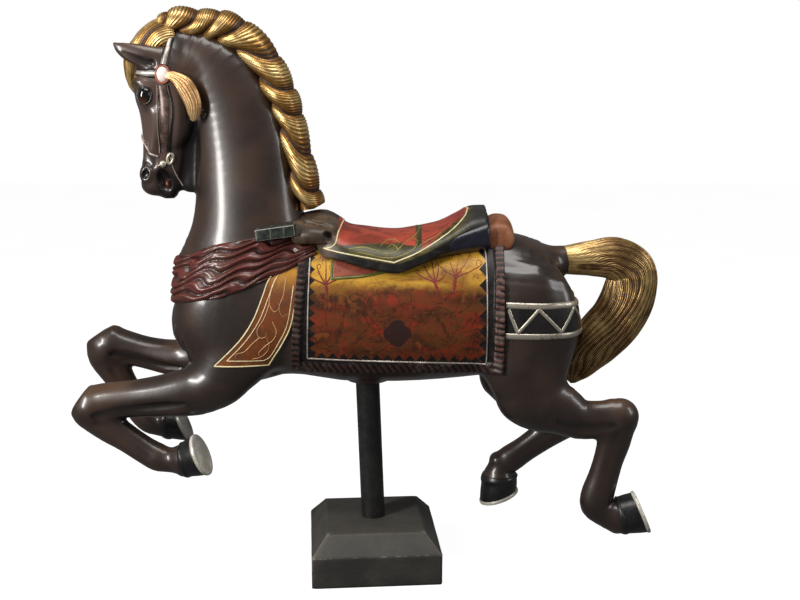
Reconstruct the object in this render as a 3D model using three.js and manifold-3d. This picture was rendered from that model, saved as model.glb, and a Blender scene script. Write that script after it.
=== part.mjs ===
// A carved carousel horse in full leap, held up by a leaning pole on a square block.
// Millimetres, +Z up. The horse leaps toward -X, its left side is at -Y, and the block stands on z = 0.
import * as THREE from "three";
import { mergeVertices, toCreasedNormals } from "three/addons/utils/BufferGeometryUtils.js";
import Module from "manifold-3d";

const wasm = await Module();
wasm.setup();

// Block and pole.
const BLOCK_WIDTH = 308;
const BLOCK_SIDE_HEIGHT = 76;
const BLOCK_BEVEL = 38;
const BLOCK_BEVEL_HEIGHT = 44;
const BLOCK_HEIGHT = BLOCK_SIDE_HEIGHT + BLOCK_BEVEL_HEIGHT;
const BLOCK_TURN = THREE.MathUtils.degToRad(4.6);
const POLE_DIAMETER = 57;
const POLE_LEAN = THREE.MathUtils.degToRad(2);
const POLE_AT_BLOCK_TOP = -1;
const POLE_SOCKET_DEPTH = 70;
const GAP = 0.3;
const BORE_OVERRUN = 40;

// Horse.
const BOSS_DIAMETER = 102;
const BOSS_BOTTOM = 458;
const BOSS_HEIGHT = 60;
const POLE_TOP = 535;
const BLANKET_FRONT = -183;
const BLANKET_BACK = 302;
const BLANKET_HEM = 520;
const BLANKET_THICKNESS = 7;
const PANEL_THICKNESS = 3.5;
const SHOE_THICKNESS = 8;
const WELD = 0.02;
const CREASE = THREE.MathUtils.degToRad(38);
const PAST_THE_SIDES = 400;
const PAST_THE_BACK = 900;

// Barrel sections: x, top, bottom, half width.
const BARREL = [
  [-464, 681, 618, 34],
  [-454, 735, 560, 68],
  [-425, 783, 518, 99],
  [-380, 809, 479, 120],
  [-315, 823, 461, 132],
  [-235, 829, 483, 138],
  [-145, 831, 483, 142],
  [-55, 815, 469, 146],
  [55, 805, 468, 148],
  [145, 805, 473, 148],
  [225, 811, 480, 147],
  [305, 809, 488, 145],
  [375, 796, 501, 137],
  [425, 786, 525, 118],
  [455, 763, 565, 90],
  [468, 725, 618, 50],
];

// Other stations: x, y, z, depth in the plane of the leap, half width.
const NECK = [
  [-290, 0, 713, 165, 116],
  [-286, 0, 788, 156, 104],
  [-287, 0, 851, 131, 91],
  [-289, 0, 916, 119, 79],
  [-293, 0, 993, 112, 69],
  [-304, 0, 1065, 104, 63],
  [-323, 0, 1131, 92, 59],
  [-355, 0, 1191, 80, 56],
  [-397, 0, 1235, 66, 52],
  [-433, 0, 1249, 50, 46],
];
const HEAD = [
  [-445, 0, 1275, 34, 30],
  [-448, 0, 1253, 60, 47],
  [-451, 0, 1218, 79, 60],
  [-460, 0, 1181, 82, 66],
  [-465, 0, 1143, 77, 68],
  [-464, 0, 1105, 68, 63],
  [-468, 0, 1065, 60, 54],
  [-474, 0, 1025, 53, 46],
  [-481, 0, 991, 48, 41],
  [-494, 0, 961, 42, 40],
  [-499, 0, 938, 33, 38],
  [-505, 0, 923, 16, 25],
];
const LOWER_JAW = [
  [-445, 0, 1043, 30, 34],
  [-450, 0, 998, 27, 33],
  [-460, 0, 963, 26, 32],
  [-469, 0, 931, 28, 31],
  [-474, 0, 908, 18, 22],
];
const THROAT = [
  [-417, 0, 1103, 44, 38],
  [-415, 0, 1043, 36, 23],
  [-417, 0, 983, 30, 18],
  [-421, 0, 933, 25, 17],
  [-423, 0, 918, 16, 12],
];
const EAR = [
  [-473, -40, 1221, 26, 20],
  [-505, -47, 1224, 25, 17],
  [-535, -50, 1232, 22, 13],
  [-557, -50, 1242, 15, 9],
  [-571, -49, 1253, 4, 3],
];

// The near fore leg is folded low and the far one is folded high.
const NEAR_FORE_UPPER = [
  [-305, -70, 653, 95, 60],
  [-320, -82, 583, 88, 60],
  [-335, -90, 528, 72, 55],
  [-350, -94, 493, 52, 46],
];
const NEAR_FOREARM = [
  [-275, -86, 553, 58, 46],
  [-335, -93, 503, 64, 50],
  [-390, -98, 471, 60, 49],
  [-440, -100, 460, 56, 48],
  [-490, -101, 453, 50, 45],
  [-550, -101, 447, 45, 41],
  [-605, -100, 442, 44, 41],
  [-653, -99, 431, 47, 43],
  [-689, -98, 422, 33, 31],
];
const NEAR_CANNON = [
  [-665, -98, 433, 38, 36],
  [-646, -98, 411, 46, 38],
  [-612, -99, 378, 39, 32],
  [-572, -101, 350, 34, 28],
  [-531, -103, 320, 33, 29],
  [-499, -105, 297, 35, 33],
  [-479, -107, 296, 35, 33],
  [-453, -112, 301, 41, 38],
];
const NEAR_FORE_HOOF = [
  [-467, -109, 300, 40, 37],
  [-436, -115, 306, 45, 44],
  [-402, -121, 317, 49, 48],
];
const FAR_FORE_UPPER = [
  [-320, 70, 663, 95, 60],
  [-350, 84, 593, 90, 60],
  [-380, 92, 543, 74, 54],
  [-410, 95, 501, 54, 46],
];
const FAR_FOREARM = [
  [-365, 92, 495, 62, 48],
  [-430, 97, 491, 56, 47],
  [-499, 99, 493, 45, 44],
  [-565, 100, 506, 41, 40],
  [-617, 100, 520, 43, 41],
  [-659, 99, 529, 48, 43],
  [-693, 98, 524, 34, 32],
];
const FAR_CANNON = [
  [-675, 98, 525, 38, 34],
  [-663, 98, 497, 45, 38],
  [-638, 99, 450, 38, 32],
  [-612, 100, 403, 34, 28],
  [-585, 102, 354, 35, 29],
  [-563, 104, 329, 36, 32],
  [-541, 105, 323, 38, 36],
];
const FAR_FORE_HOOF = [
  [-550, 104, 325, 41, 38],
  [-517, 107, 319, 44, 44],
  [-481, 110, 313, 48, 47],
];
const THIGH = [
  [371, 58, 762, 62, 48],
  [365, 78, 722, 96, 64],
  [362, 88, 663, 106, 67],
  [359, 94, 583, 108, 62],
  [355, 98, 503, 98, 55],
  [347, 100, 453, 72, 45],
  [343, 101, 423, 40, 28],
];
const NEAR_GASKIN = [
  [363, -100, 459, 76, 46],
  [399, -101, 437, 71, 46],
  [438, -102, 420, 60, 42],
  [482, -102, 399, 49, 36],
  [525, -102, 398, 48, 34],
  [570, -102, 404, 47, 34],
  [602, -102, 413, 31, 25],
];
const NEAR_HIND_CANNON = [
  [587, -102, 422, 32, 30],
  [578, -102, 390, 45, 34],
  [564, -102, 343, 38, 29],
  [551, -101, 298, 33, 27],
  [541, -100, 253, 34, 28],
  [530, -100, 213, 39, 32],
  [529, -100, 183, 39, 34],
  [551, -100, 161, 39, 35],
  [585, -100, 152, 44, 41],
];
const NEAR_HIND_HOOF = [
  [570, -100, 154, 43, 42],
  [603, -100, 159, 48, 48],
  [638, -100, 165, 52, 52],
];
const FAR_GASKIN = [
  [340, 100, 453, 78, 46],
  [371, 101, 411, 68, 45],
  [407, 102, 373, 55, 40],
  [441, 102, 345, 46, 35],
  [473, 102, 330, 38, 30],
];
const FAR_HIND_CANNON = [
  [495, 102, 337, 30, 28],
  [471, 102, 321, 43, 33],
  [425, 102, 287, 36, 29],
  [380, 101, 254, 34, 28],
  [339, 100, 224, 37, 31],
  [319, 100, 201, 38, 34],
  [319, 100, 175, 46, 43],
];
const FAR_HIND_HOOF = [
  [318, 100, 183, 46, 43],
  [319, 100, 159, 50, 48],
  [321, 100, 130, 52, 51],
];
const TAIL = [
  [435, 0, 755, 34, 30],
  [471, 0, 757, 37, 34],
  [517, 0, 760, 42, 38],
  [565, 0, 757, 49, 44],
  [607, 0, 727, 56, 48],
  [605, 0, 669, 61, 50],
  [581, 0, 614, 62, 48],
  [543, 0, 569, 60, 45],
  [510, 0, 527, 50, 40],
  [486, 0, 485, 30, 26],
  [477, 0, 460, 9, 9],
];
const MANE = [
  [-467, 0, 1297, 18, 26],
  [-435, 0, 1298, 29, 38],
  [-393, 0, 1294, 30, 42],
  [-347, 0, 1290, 33, 42],
  [-301, 0, 1269, 36, 42],
  [-262, 0, 1237, 36, 42],
  [-225, 0, 1185, 33, 42],
  [-200, 0, 1123, 30, 43],
  [-182, 0, 1063, 28, 44],
  [-168, 0, 1003, 26, 46],
  [-155, 0, 938, 26, 48],
  [-138, 0, 883, 23, 40],
];
const FORELOCK = [
  [-440, 4, 1274, 32, 42],
  [-472, 6, 1264, 41, 48],
  [-503, 10, 1246, 38, 44],
  [-529, 14, 1218, 31, 36],
  [-540, 16, 1188, 21, 27],
  [-541, 16, 1163, 13, 18],
  [-540, 15, 1143, 5, 8],
];
const TASSEL = [
  [-461, -62, 1181, 10, 9],
  [-437, -66, 1179, 11, 9],
  [-413, -68, 1159, 19, 11],
  [-397, -68, 1125, 18, 11],
  [-395, -67, 1097, 13, 9],
  [-399, -66, 1083, 5, 5],
];
const ROSETTE = [-462, 64, 1184];
const ROSETTE_RADII = [14, 9.5, 19];
const BIT_RING = [-463, 42, 999];
const BIT_RING_RADIUS = 14;
const BIT_RING_WIRE = 4;

// Saddle sections: x, level of the skirt's edge, seat above it, half width at the skirt.
const SADDLE = [
  [-131, 795, 60, 94],
  [-109, 792, 74, 114],
  [-83, 790, 67, 127],
  [-55, 784, 55, 136],
  [-15, 773, 60, 142],
  [25, 765, 63, 145],
  [60, 762, 65, 147],
  [90, 772, 59, 145],
  [125, 786, 51, 139],
  [160, 803, 43, 130],
  [195, 822, 42, 118],
  [227, 836, 45, 108],
  [263, 842, 42, 98],
];
const SADDLE_UNDERSIDE = 40;
const PAD = [
  [75, 0, 778, 20, 118],
  [135, 0, 792, 26, 124],
  [195, 0, 812, 34, 120],
  [266, 0, 826, 44, 106],
];
const BEDROLL_LENGTH = 160;
const BEDROLL = { x: 292, z: 828, depth: 34, droop: 14 };
const COLLAR_ROLL = [
  [-173, -112, 839, 12, 10],
  [-150, -116, 833, 15, 14],
  [-123, -118, 827, 15, 14],
  [-99, -118, 825, 10, 10],
];
const PLATE = { x: -213, z: 839, length: 88, thickness: 60, height: 27, tilt: 0.14, sunk: 22, rests: 805 };

// Outline, in x and z, of the painted panel on each shoulder.
const SHOULDER_PANEL = [
  [-357, 535],
  [-235, 537],
  [-201, 589],
  [-177, 639],
  [-158, 765],
  [-195, 773],
  [-227, 735],
  [-245, 696],
  [-267, 643],
  [-300, 591],
];

// Folds of the breast drape: height of each fold at the saddle, at the shoulder and at the chest.
const DRAPE_FOLDS = [
  [805, 805, 757],
  [799, 781, 736],
  [793, 758, 716],
  [787, 735, 697],
  [781, 713, 680],
];
const DRAPE_BACK = -127;
const DRAPE_SHOULDER = -335;
const DRAPE_CHEST = -466;
const DRAPE_MARKS = [-127, -195, -265, -335, -385, -425, -447];
const FOLD_RADIUS = 13;

const finishes = {
  lacquer: { color: 0x3b2a20, roughness: 0.4, metalness: 0 },
  blackIron: { color: 0x151413, roughness: 0.45, metalness: 0.6 },
  charcoalPaint: { color: 0x2a2826, roughness: 0.55, metalness: 0 },
};

const SIDEWAYS = new THREE.Vector3(0, 1, 0);
const ALONG = new THREE.Vector3(1, 0, 0);

function solidOf(geometry) {
  const bare = geometry.clone();
  bare.deleteAttribute("normal");
  bare.deleteAttribute("uv");
  const merged = mergeVertices(bare, 1e-3);
  const mesh = new wasm.Mesh({
    numProp: 3,
    vertProperties: new Float32Array(merged.attributes.position.array),
    triVerts: new Uint32Array(merged.index.array),
  });
  return new wasm.Manifold(mesh);
}

// The solid's faces, with vertices closer than the weld distance made one and slivers dropped.
function geometryOf(manifold) {
  const mesh = manifold.getMesh();
  const geometry = new THREE.BufferGeometry();
  geometry.setAttribute("position", new THREE.BufferAttribute(mesh.vertProperties, 3));
  geometry.setIndex(new THREE.BufferAttribute(mesh.triVerts, 1));
  const welded = mergeVertices(geometry, WELD);
  const corners = welded.index.array;
  const kept = [];
  for (let i = 0; i < corners.length; i += 3) {
    const [a, b, c] = corners.slice(i, i + 3);
    if (a !== b && b !== c && c !== a) kept.push(a, b, c);
  }
  welded.setIndex(kept);
  return toCreasedNormals(welded, CREASE);
}

// A number run smoothly through four neighbours.
function glide(before, from, to, after, t) {
  const slopeIn = (to - before) / 2;
  const slopeOut = (after - from) / 2;
  const rise = to - from;
  return from + t * (slopeIn + t * (3 * rise - 2 * slopeIn - slopeOut + t * (slopeIn + slopeOut - 2 * rise)));
}

function smoothed(stations, steps) {
  const last = stations.length - 1;
  const at = (i) => stations[Math.min(Math.max(i, 0), last)];
  const dense = [];
  for (let i = 0; i < last; i++) {
    for (let step = 0; step < steps; step++) {
      const t = step / steps;
      dense.push(at(i).map((value, k) => glide(at(i - 1)[k], value, at(i + 1)[k], at(i + 2)[k], t)));
    }
  }
  dense.push(at(last));
  return dense;
}

function rounded(value, power) {
  return Math.sign(value) * Math.abs(value) ** (2 / power);
}

// A closed skin over stations of x, y, z, depth and half width. Each section stands square to the run of
// the stations, or to `facing`, and may be lobed like a twisted rope.
function loft(stations, options = {}) {
  const { sides = 9, steps = 1, power = 2, facing = null, tip = 0.4 } = options;
  const { lobes = 0, lobeHeight = 0, turns = 0, underside = null } = options;
  const dense = smoothed(stations, steps);
  const centres = dense.map(([x, y, z]) => new THREE.Vector3(x, y, z));
  const points = [];
  const faces = [];
  const tangents = centres.map((centre, i) => {
    const next = centres[Math.min(i + 1, centres.length - 1)];
    const previous = centres[Math.max(i - 1, 0)];
    return facing ? facing.clone() : next.clone().sub(previous).normalize();
  });
  dense.forEach((station, i) => {
    const [, , , depth, width] = station;
    const across = SIDEWAYS.clone().addScaledVector(tangents[i], -tangents[i].y).normalize();
    const inPlane = across.clone().cross(tangents[i]).normalize();
    const twist = (2 * Math.PI * turns * i) / (dense.length - 1);
    for (let side = 0; side < sides; side++) {
      const angle = (2 * Math.PI * side) / sides;
      const swell = 1 + lobeHeight * Math.cos(lobes * angle - twist);
      const rise = rounded(Math.sin(angle), power);
      const reach = underside !== null && rise * inPlane.z < 0 ? underside : depth;
      const point = centres[i].clone();
      point.addScaledVector(across, width * swell * rounded(Math.cos(angle), power));
      point.addScaledVector(inPlane, reach * swell * rise);
      points.push(point);
    }
  });
  for (let i = 0; i + 1 < dense.length; i++) {
    for (let side = 0; side < sides; side++) {
      const a = i * sides + side;
      const b = i * sides + ((side + 1) % sides);
      faces.push([a, b, a + sides], [b, b + sides, a + sides]);
    }
  }
  const ends = [
    [0, -1],
    [dense.length - 1, 1],
  ];
  for (const [i, way] of ends) {
    const centre = points.length;
    const push = tip * Math.min(dense[i][3], dense[i][4]) * way;
    points.push(centres[i].clone().addScaledVector(tangents[i], push));
    for (let side = 0; side < sides; side++) {
      const a = i * sides + side;
      const b = i * sides + ((side + 1) % sides);
      faces.push(way < 0 ? [b, a, centre] : [a, b, centre]);
    }
  }
  const geometry = new THREE.BufferGeometry().setFromPoints(points);
  geometry.setIndex(faces.flat());
  const skin = solidOf(geometry);
  return skin.volume() < 0 ? solidOf(turnedInsideOut(geometry)) : skin;
}

function turnedInsideOut(geometry) {
  const index = geometry.index.array;
  for (let i = 0; i < index.length; i += 3) {
    [index[i + 1], index[i + 2]] = [index[i + 2], index[i + 1]];
  }
  return geometry;
}

function mirrored(stations) {
  return stations.map(([x, y, ...rest]) => [x, -y, ...rest]);
}

function united(solids) {
  return solids.reduce((sum, solid) => sum.add(solid));
}

function box(low, high) {
  const size = low.map((value, i) => high[i] - value);
  const geometry = new THREE.BoxGeometry(...size);
  geometry.translate(...low.map((value, i) => value + size[i] / 2));
  return solidOf(geometry);
}

// A prism along Y over an outline of x and z, on the left side of the horse when side is -1.
function sidePrism(outline, side) {
  const shape = new THREE.Shape(outline.map(([x, z]) => new THREE.Vector2(x, z)));
  const geometry = new THREE.ExtrudeGeometry(shape, { depth: PAST_THE_SIDES, bevelEnabled: false });
  geometry.rotateX(Math.PI / 2);
  if (side > 0) geometry.translate(0, PAST_THE_SIDES, 0);
  return solidOf(geometry);
}

function barrel(grow = 0) {
  const stations = BARREL.map(([x, top, bottom, width]) => [
    x,
    0,
    (top + bottom) / 2,
    (top - bottom) / 2 + grow,
    width + grow,
  ]);
  return loft(stations, { sides: 18, power: 2.25, facing: ALONG });
}

// Half the barrel's width at a place on its side.
function barrelReach(x, z) {
  const i = Math.max(1, BARREL.findIndex(([stationX]) => stationX >= x));
  const [fromX, ...from] = BARREL[i - 1];
  const [toX, ...to] = BARREL[i];
  const t = (x - fromX) / (toX - fromX);
  const [top, bottom, width] = from.map((value, k) => value + t * (to[k] - value));
  const level = Math.min(1, Math.abs((2 * z - top - bottom) / (top - bottom)));
  return width * (1 - level ** 2.25) ** (1 / 2.25);
}

function hoof(stations) {
  const [fx, fy, fz] = stations[0];
  const [tx, ty, tz, depth, width] = stations[stations.length - 1];
  const facing = new THREE.Vector3(tx - fx, ty - fy, tz - fz).normalize();
  const horn = loft(stations, { sides: 12, facing, tip: 0 });
  const shoeStart = new THREE.Vector3(tx, ty, tz);
  const shoeEnd = shoeStart.clone().addScaledVector(facing, SHOE_THICKNESS);
  const shoe = [shoeStart, shoeEnd].map((place) => [...place.toArray(), depth + 2, width + 2]);
  return horn.add(loft(shoe, { sides: 12, facing, tip: 0 }));
}

function legs() {
  return [
    loft(NEAR_FORE_UPPER),
    loft(NEAR_FOREARM),
    loft(NEAR_CANNON),
    hoof(NEAR_FORE_HOOF),
    loft(FAR_FORE_UPPER),
    loft(FAR_FOREARM),
    loft(FAR_CANNON),
    hoof(FAR_FORE_HOOF),
    loft(THIGH, { sides: 12 }),
    loft(mirrored(THIGH), { sides: 12 }),
    loft(NEAR_GASKIN),
    loft(NEAR_HIND_CANNON),
    hoof(NEAR_HIND_HOOF),
    loft(FAR_GASKIN),
    loft(FAR_HIND_CANNON),
    hoof(FAR_HIND_HOOF),
  ];
}

function headAndNeck() {
  return [
    loft(NECK, { sides: 14 }),
    loft(HEAD, { sides: 14, power: 2.2 }),
    loft(LOWER_JAW),
    loft(THROAT),
    loft(EAR, { sides: 10 }),
    loft(mirrored(EAR), { sides: 10 }),
  ];
}

function hair() {
  return [
    loft(MANE, { sides: 11, steps: 2, lobes: 3, lobeHeight: 0.1, turns: 3.7 }),
    loft(FORELOCK, { sides: 9, lobes: 3, lobeHeight: 0.1, turns: 0.8 }),
    loft(TAIL, { sides: 12, lobes: 4, lobeHeight: 0.08, turns: 0.7 }),
  ];
}

function bridle() {
  const pieces = [];
  for (const side of [-1, 1]) {
    const rosette = new THREE.SphereGeometry(1, 10, 6);
    rosette.scale(...ROSETTE_RADII);
    rosette.translate(ROSETTE[0], side * ROSETTE[1], ROSETTE[2]);
    const ring = new THREE.TorusGeometry(BIT_RING_RADIUS, BIT_RING_WIRE, 5, 12);
    ring.rotateX(Math.PI / 2);
    ring.translate(BIT_RING[0], side * BIT_RING[1], BIT_RING[2]);
    pieces.push(solidOf(rosette), solidOf(ring));
    pieces.push(loft(side < 0 ? TASSEL : mirrored(TASSEL), { sides: 8 }));
  }
  return pieces;
}

function saddle() {
  const seat = SADDLE.map(([x, skirt, rise, width]) => [x, 0, skirt, rise, width]);
  const reach = BEDROLL_LENGTH / 2;
  const bedroll = [-1, -0.5, 0, 0.5, 1].map((way) => [
    BEDROLL.x,
    way * reach,
    BEDROLL.z - BEDROLL.droop * way * way,
    BEDROLL.depth,
    BEDROLL.depth,
  ]);
  const rolls = [COLLAR_ROLL, mirrored(COLLAR_ROLL)];
  return [
    loft(seat, { sides: 16, facing: ALONG, power: 2.3, underside: SADDLE_UNDERSIDE, tip: 0.1 }),
    loft(PAD, { sides: 16, facing: ALONG, power: 3, tip: 0 }),
    transverseRoll(bedroll),
    ...rolls.map((stations) => loft(stations, { sides: 8 })),
    ...[-1, 1].map(collarPlate),
  ];
}

// The bedroll lies across the back, so its sections face sideways.
function transverseRoll(stations) {
  const turned = stations.map(([x, y, z, depth, width]) => [y, -x, z, depth, width]);
  return loft(turned, { sides: 14, facing: ALONG, tip: 0.15 }).rotate([0, 0, 90]);
}

function collarPlate(side) {
  const reach = barrelReach(PLATE.x, PLATE.rests);
  const geometry = new THREE.BoxGeometry(PLATE.length, PLATE.thickness, PLATE.height);
  geometry.rotateY(-PLATE.tilt);
  geometry.translate(PLATE.x, side * (reach - PLATE.sunk), PLATE.z);
  return solidOf(geometry);
}

function blanket() {
  const low = [BLANKET_FRONT, -PAST_THE_SIDES, BLANKET_HEM];
  const keep = box(low, [BLANKET_BACK, PAST_THE_SIDES, PAST_THE_BACK]);
  return barrel(BLANKET_THICKNESS).intersect(keep);
}

// Each fold runs from the saddle round the chest to the other side.
function drape() {
  return DRAPE_FOLDS.map(([back, shoulder, chest]) => {
    const half = DRAPE_MARKS.map((x) => {
      const ahead = x < DRAPE_SHOULDER;
      const start = ahead ? DRAPE_SHOULDER : DRAPE_BACK;
      const end = ahead ? DRAPE_CHEST : DRAPE_SHOULDER;
      const t = (x - start) / (end - start);
      const z = ahead ? shoulder + t * (chest - shoulder) : back + t * (shoulder - back);
      return [x, -barrelReach(x, z), z];
    });
    return foldTube([...half, ...mirrored(half).reverse()]);
  });
}

// A round tube along places that turn in plan.
function foldTube(places) {
  const path = new THREE.CatmullRomCurve3(places.map((place) => new THREE.Vector3(...place)));
  const section = new THREE.Shape();
  section.absarc(0, 0, FOLD_RADIUS, 0, 2 * Math.PI);
  const geometry = new THREE.ExtrudeGeometry(section, {
    extrudePath: path,
    steps: 12,
    curveSegments: 3,
    bevelEnabled: false,
  });
  return solidOf(geometry);
}

function reliefPanels() {
  const skin = barrel(PANEL_THICKNESS);
  return [-1, 1].map((side) => skin.intersect(sidePrism(SHOULDER_PANEL, side)));
}

function poleAxisAt(z) {
  return POLE_AT_BLOCK_TOP - (z - BLOCK_HEIGHT) * Math.tan(POLE_LEAN);
}

function poleRod(radius, from, to) {
  const length = (to - from) / Math.cos(POLE_LEAN);
  const middle = (from + to) / 2;
  const rod = new THREE.CylinderGeometry(radius, radius, length, 32);
  rod.rotateX(Math.PI / 2);
  rod.rotateY(-POLE_LEAN);
  rod.translate(poleAxisAt(middle), 0, middle);
  return rod;
}

function horseGeometry() {
  const boss = poleRod(BOSS_DIAMETER / 2, BOSS_BOTTOM, BOSS_BOTTOM + BOSS_HEIGHT);
  const whole = united([
    barrel(),
    ...legs(),
    ...headAndNeck(),
    ...hair(),
    ...bridle(),
    blanket(),
    ...saddle(),
    ...drape(),
    ...reliefPanels(),
    solidOf(boss),
  ]);
  const bore = poleRod(POLE_DIAMETER / 2 + GAP, BOSS_BOTTOM - BORE_OVERRUN, POLE_TOP + GAP);
  return geometryOf(outerBody(whole.subtract(solidOf(bore))));
}

// The largest body alone, with any pocket left between overlapping skins filled.
function outerBody(solid) {
  const bodies = solid.decompose();
  return bodies.reduce((largest, body) => (body.volume() > largest.volume() ? body : largest));
}

function poleGeometry() {
  return poleRod(POLE_DIAMETER / 2, BLOCK_HEIGHT - POLE_SOCKET_DEPTH, POLE_TOP);
}

function blockGeometry() {
  const half = BLOCK_WIDTH / 2;
  const top = half - BLOCK_BEVEL;
  const profile = [
    [0, 0],
    [half, 0],
    [half, BLOCK_SIDE_HEIGHT],
    [top, BLOCK_HEIGHT],
    [0, BLOCK_HEIGHT],
  ].map(([reach, z]) => new THREE.Vector2(reach * Math.SQRT2, z));
  const block = new THREE.LatheGeometry(profile, 4, Math.PI / 4);
  block.rotateX(Math.PI / 2);
  block.rotateZ(BLOCK_TURN);
  const socketFloor = BLOCK_HEIGHT - POLE_SOCKET_DEPTH - GAP;
  const bore = poleRod(POLE_DIAMETER / 2 + GAP, socketFloor, BLOCK_HEIGHT + BORE_OVERRUN);
  return geometryOf(solidOf(block).subtract(solidOf(bore)));
}

function piece(name, geometry, finish) {
  const mesh = new THREE.Mesh(geometry, new THREE.MeshStandardMaterial(finish));
  mesh.name = name;
  return mesh;
}

const carouselHorse = new THREE.Group();
carouselHorse.add(piece("horse", horseGeometry(), finishes.lacquer));
carouselHorse.add(piece("pole", poleGeometry(), finishes.blackIron));
carouselHorse.add(piece("base_block", blockGeometry(), finishes.charcoalPaint));

export default carouselHorse;
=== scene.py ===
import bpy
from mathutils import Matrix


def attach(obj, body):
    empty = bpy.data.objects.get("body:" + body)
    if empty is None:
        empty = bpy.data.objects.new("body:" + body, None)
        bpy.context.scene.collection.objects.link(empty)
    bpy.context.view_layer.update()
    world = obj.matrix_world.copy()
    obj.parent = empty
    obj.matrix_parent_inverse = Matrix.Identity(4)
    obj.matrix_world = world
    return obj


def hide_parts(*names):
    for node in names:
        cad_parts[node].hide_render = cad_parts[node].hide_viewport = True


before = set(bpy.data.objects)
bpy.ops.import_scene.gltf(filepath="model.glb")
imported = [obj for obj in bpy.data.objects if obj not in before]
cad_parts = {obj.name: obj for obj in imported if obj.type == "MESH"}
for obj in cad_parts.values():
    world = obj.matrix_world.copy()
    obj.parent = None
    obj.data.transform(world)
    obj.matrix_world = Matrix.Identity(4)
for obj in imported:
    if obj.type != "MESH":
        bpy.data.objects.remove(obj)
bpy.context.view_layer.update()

# A carved carousel horse in full leap, painted and gilded, on a leaning pole and a square block.
# Metres, +Z up. The horse leaps toward -X and its left side is at -Y. Tables are in millimetres.
import copy
import math

import bpy
import numpy as np
from mathutils import Vector

MM = 0.001
NEAR, FAR = -1, 1
SIDES = ((NEAR, "near"), (FAR, "far"))

# ---------------------------------------------------------------- the carving's stations
# x, y, z, depth in the plane of the leap, half width.

BARREL = [
    [-462, 0, 650, 10, 10], [-456, 0, 649, 66, 54], [-445, 0, 649, 104, 82], [-425, 0, 650, 132, 99],
    [-380, 0, 644, 165, 120], [-315, 0, 642, 181, 132], [-235, 0, 656, 173, 138], [-145, 0, 657, 174, 142],
    [-55, 0, 642, 173, 146], [55, 0, 637, 169, 148], [145, 0, 639, 166, 148], [225, 0, 646, 165, 147],
    [305, 0, 649, 160, 145], [375, 0, 649, 147, 137], [425, 0, 656, 130, 118], [452, 0, 664, 96, 88],
    [462, 0, 670, 52, 50], [467, 0, 671, 8, 8],
]
NECK = [
    [-290, 0, 713, 163, 114], [-286, 0, 788, 155, 103], [-287, 0, 851, 131, 91], [-289, 0, 916, 119, 79],
    [-293, 0, 993, 112, 69], [-304, 0, 1065, 104, 63], [-323, 0, 1131, 92, 59], [-355, 0, 1191, 80, 56],
    [-396, 0, 1230, 62, 50], [-420, 0, 1240, 44, 42],
]
SKULL = [
    [-440, 0, 1240, 50, 40], [-448, 0, 1212, 76, 58], [-459, 0, 1181, 81, 65], [-464, 0, 1143, 76, 64],
    [-464, 0, 1105, 68, 58], [-468, 0, 1065, 59, 49], [-474, 0, 1025, 52, 42], [-481, 0, 991, 47, 38],
    [-491, 0, 963, 42, 38], [-497, 0, 944, 36, 37],
]
LOWER_JAW = [
    [-445, 0, 1043, 30, 32], [-450, 0, 998, 26, 30], [-458, 0, 963, 25, 29], [-466, 0, 935, 28, 30],
    [-470, 0, 921, 22, 26],
]
THROAT = [
    [-417, 0, 1100, 46, 36], [-415, 0, 1040, 36, 20], [-417, 0, 983, 29, 15], [-421, 0, 938, 23, 15],
]
EAR = [
    [-470, 40, 1220, 24, 19], [-505, 47, 1224, 25, 17], [-535, 50, 1232, 21, 12], [-557, 50, 1242, 13, 8],
    [-568, 49, 1250, 5, 4],
]
NEAR_FORE_UPPER = [
    [-305, -70, 653, 92, 58], [-320, -82, 583, 84, 58], [-335, -90, 528, 68, 53], [-350, -94, 493, 50, 44],
]
NEAR_FOREARM = [
    [-275, -84, 560, 52, 44], [-335, -93, 508, 61, 49], [-390, -98, 471, 59, 48], [-440, -100, 460, 55, 47],
    [-490, -101, 453, 49, 44], [-550, -101, 447, 44, 40], [-605, -100, 442, 43, 40],
    [-646, -99, 431, 46, 42], [-657, -98, 427, 41, 38],
]
NEAR_CANNON = [
    [-655, -98, 424, 41, 36], [-646, -98, 411, 45, 38], [-612, -99, 378, 38, 31], [-572, -101, 350, 33, 27],
    [-531, -103, 322, 32, 28], [-502, -105, 306, 33, 30], [-482, -107, 301, 30, 28],
    [-466, -109, 300, 30, 28], [-450, -111, 301, 36, 34], [-442, -112, 301, 39, 37],
]
FAR_FORE_UPPER = [
    [-320, 70, 663, 90, 58], [-350, 84, 593, 86, 58], [-380, 92, 543, 72, 52], [-410, 95, 501, 54, 46],
]
FAR_FOREARM = [
    [-365, 92, 495, 60, 47], [-430, 97, 491, 55, 46], [-499, 99, 493, 45, 43], [-565, 100, 506, 40, 39],
    [-617, 100, 520, 42, 40], [-650, 99, 528, 46, 42], [-662, 98, 524, 41, 37],
]
FAR_CANNON = [
    [-668, 98, 522, 40, 35], [-663, 98, 497, 44, 38], [-638, 99, 450, 38, 31], [-612, 100, 403, 33, 27],
    [-585, 102, 354, 34, 28], [-563, 104, 330, 34, 31], [-543, 105, 323, 33, 33], [-526, 106, 323, 40, 39],
]
THIGH = [
    [371, 56, 728, 50, 44], [365, 78, 705, 84, 60], [362, 88, 663, 104, 66], [359, 94, 583, 106, 62],
    [358, 98, 503, 93, 55], [362, 100, 460, 71, 45],
]
NEAR_GASKIN = [
    [368, -100, 460, 73, 46], [399, -101, 437, 71, 46], [438, -102, 420, 60, 42], [482, -102, 398, 48, 36],
    [525, -102, 396, 45, 33], [562, -102, 400, 45, 33], [578, -102, 404, 40, 30],
]
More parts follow.
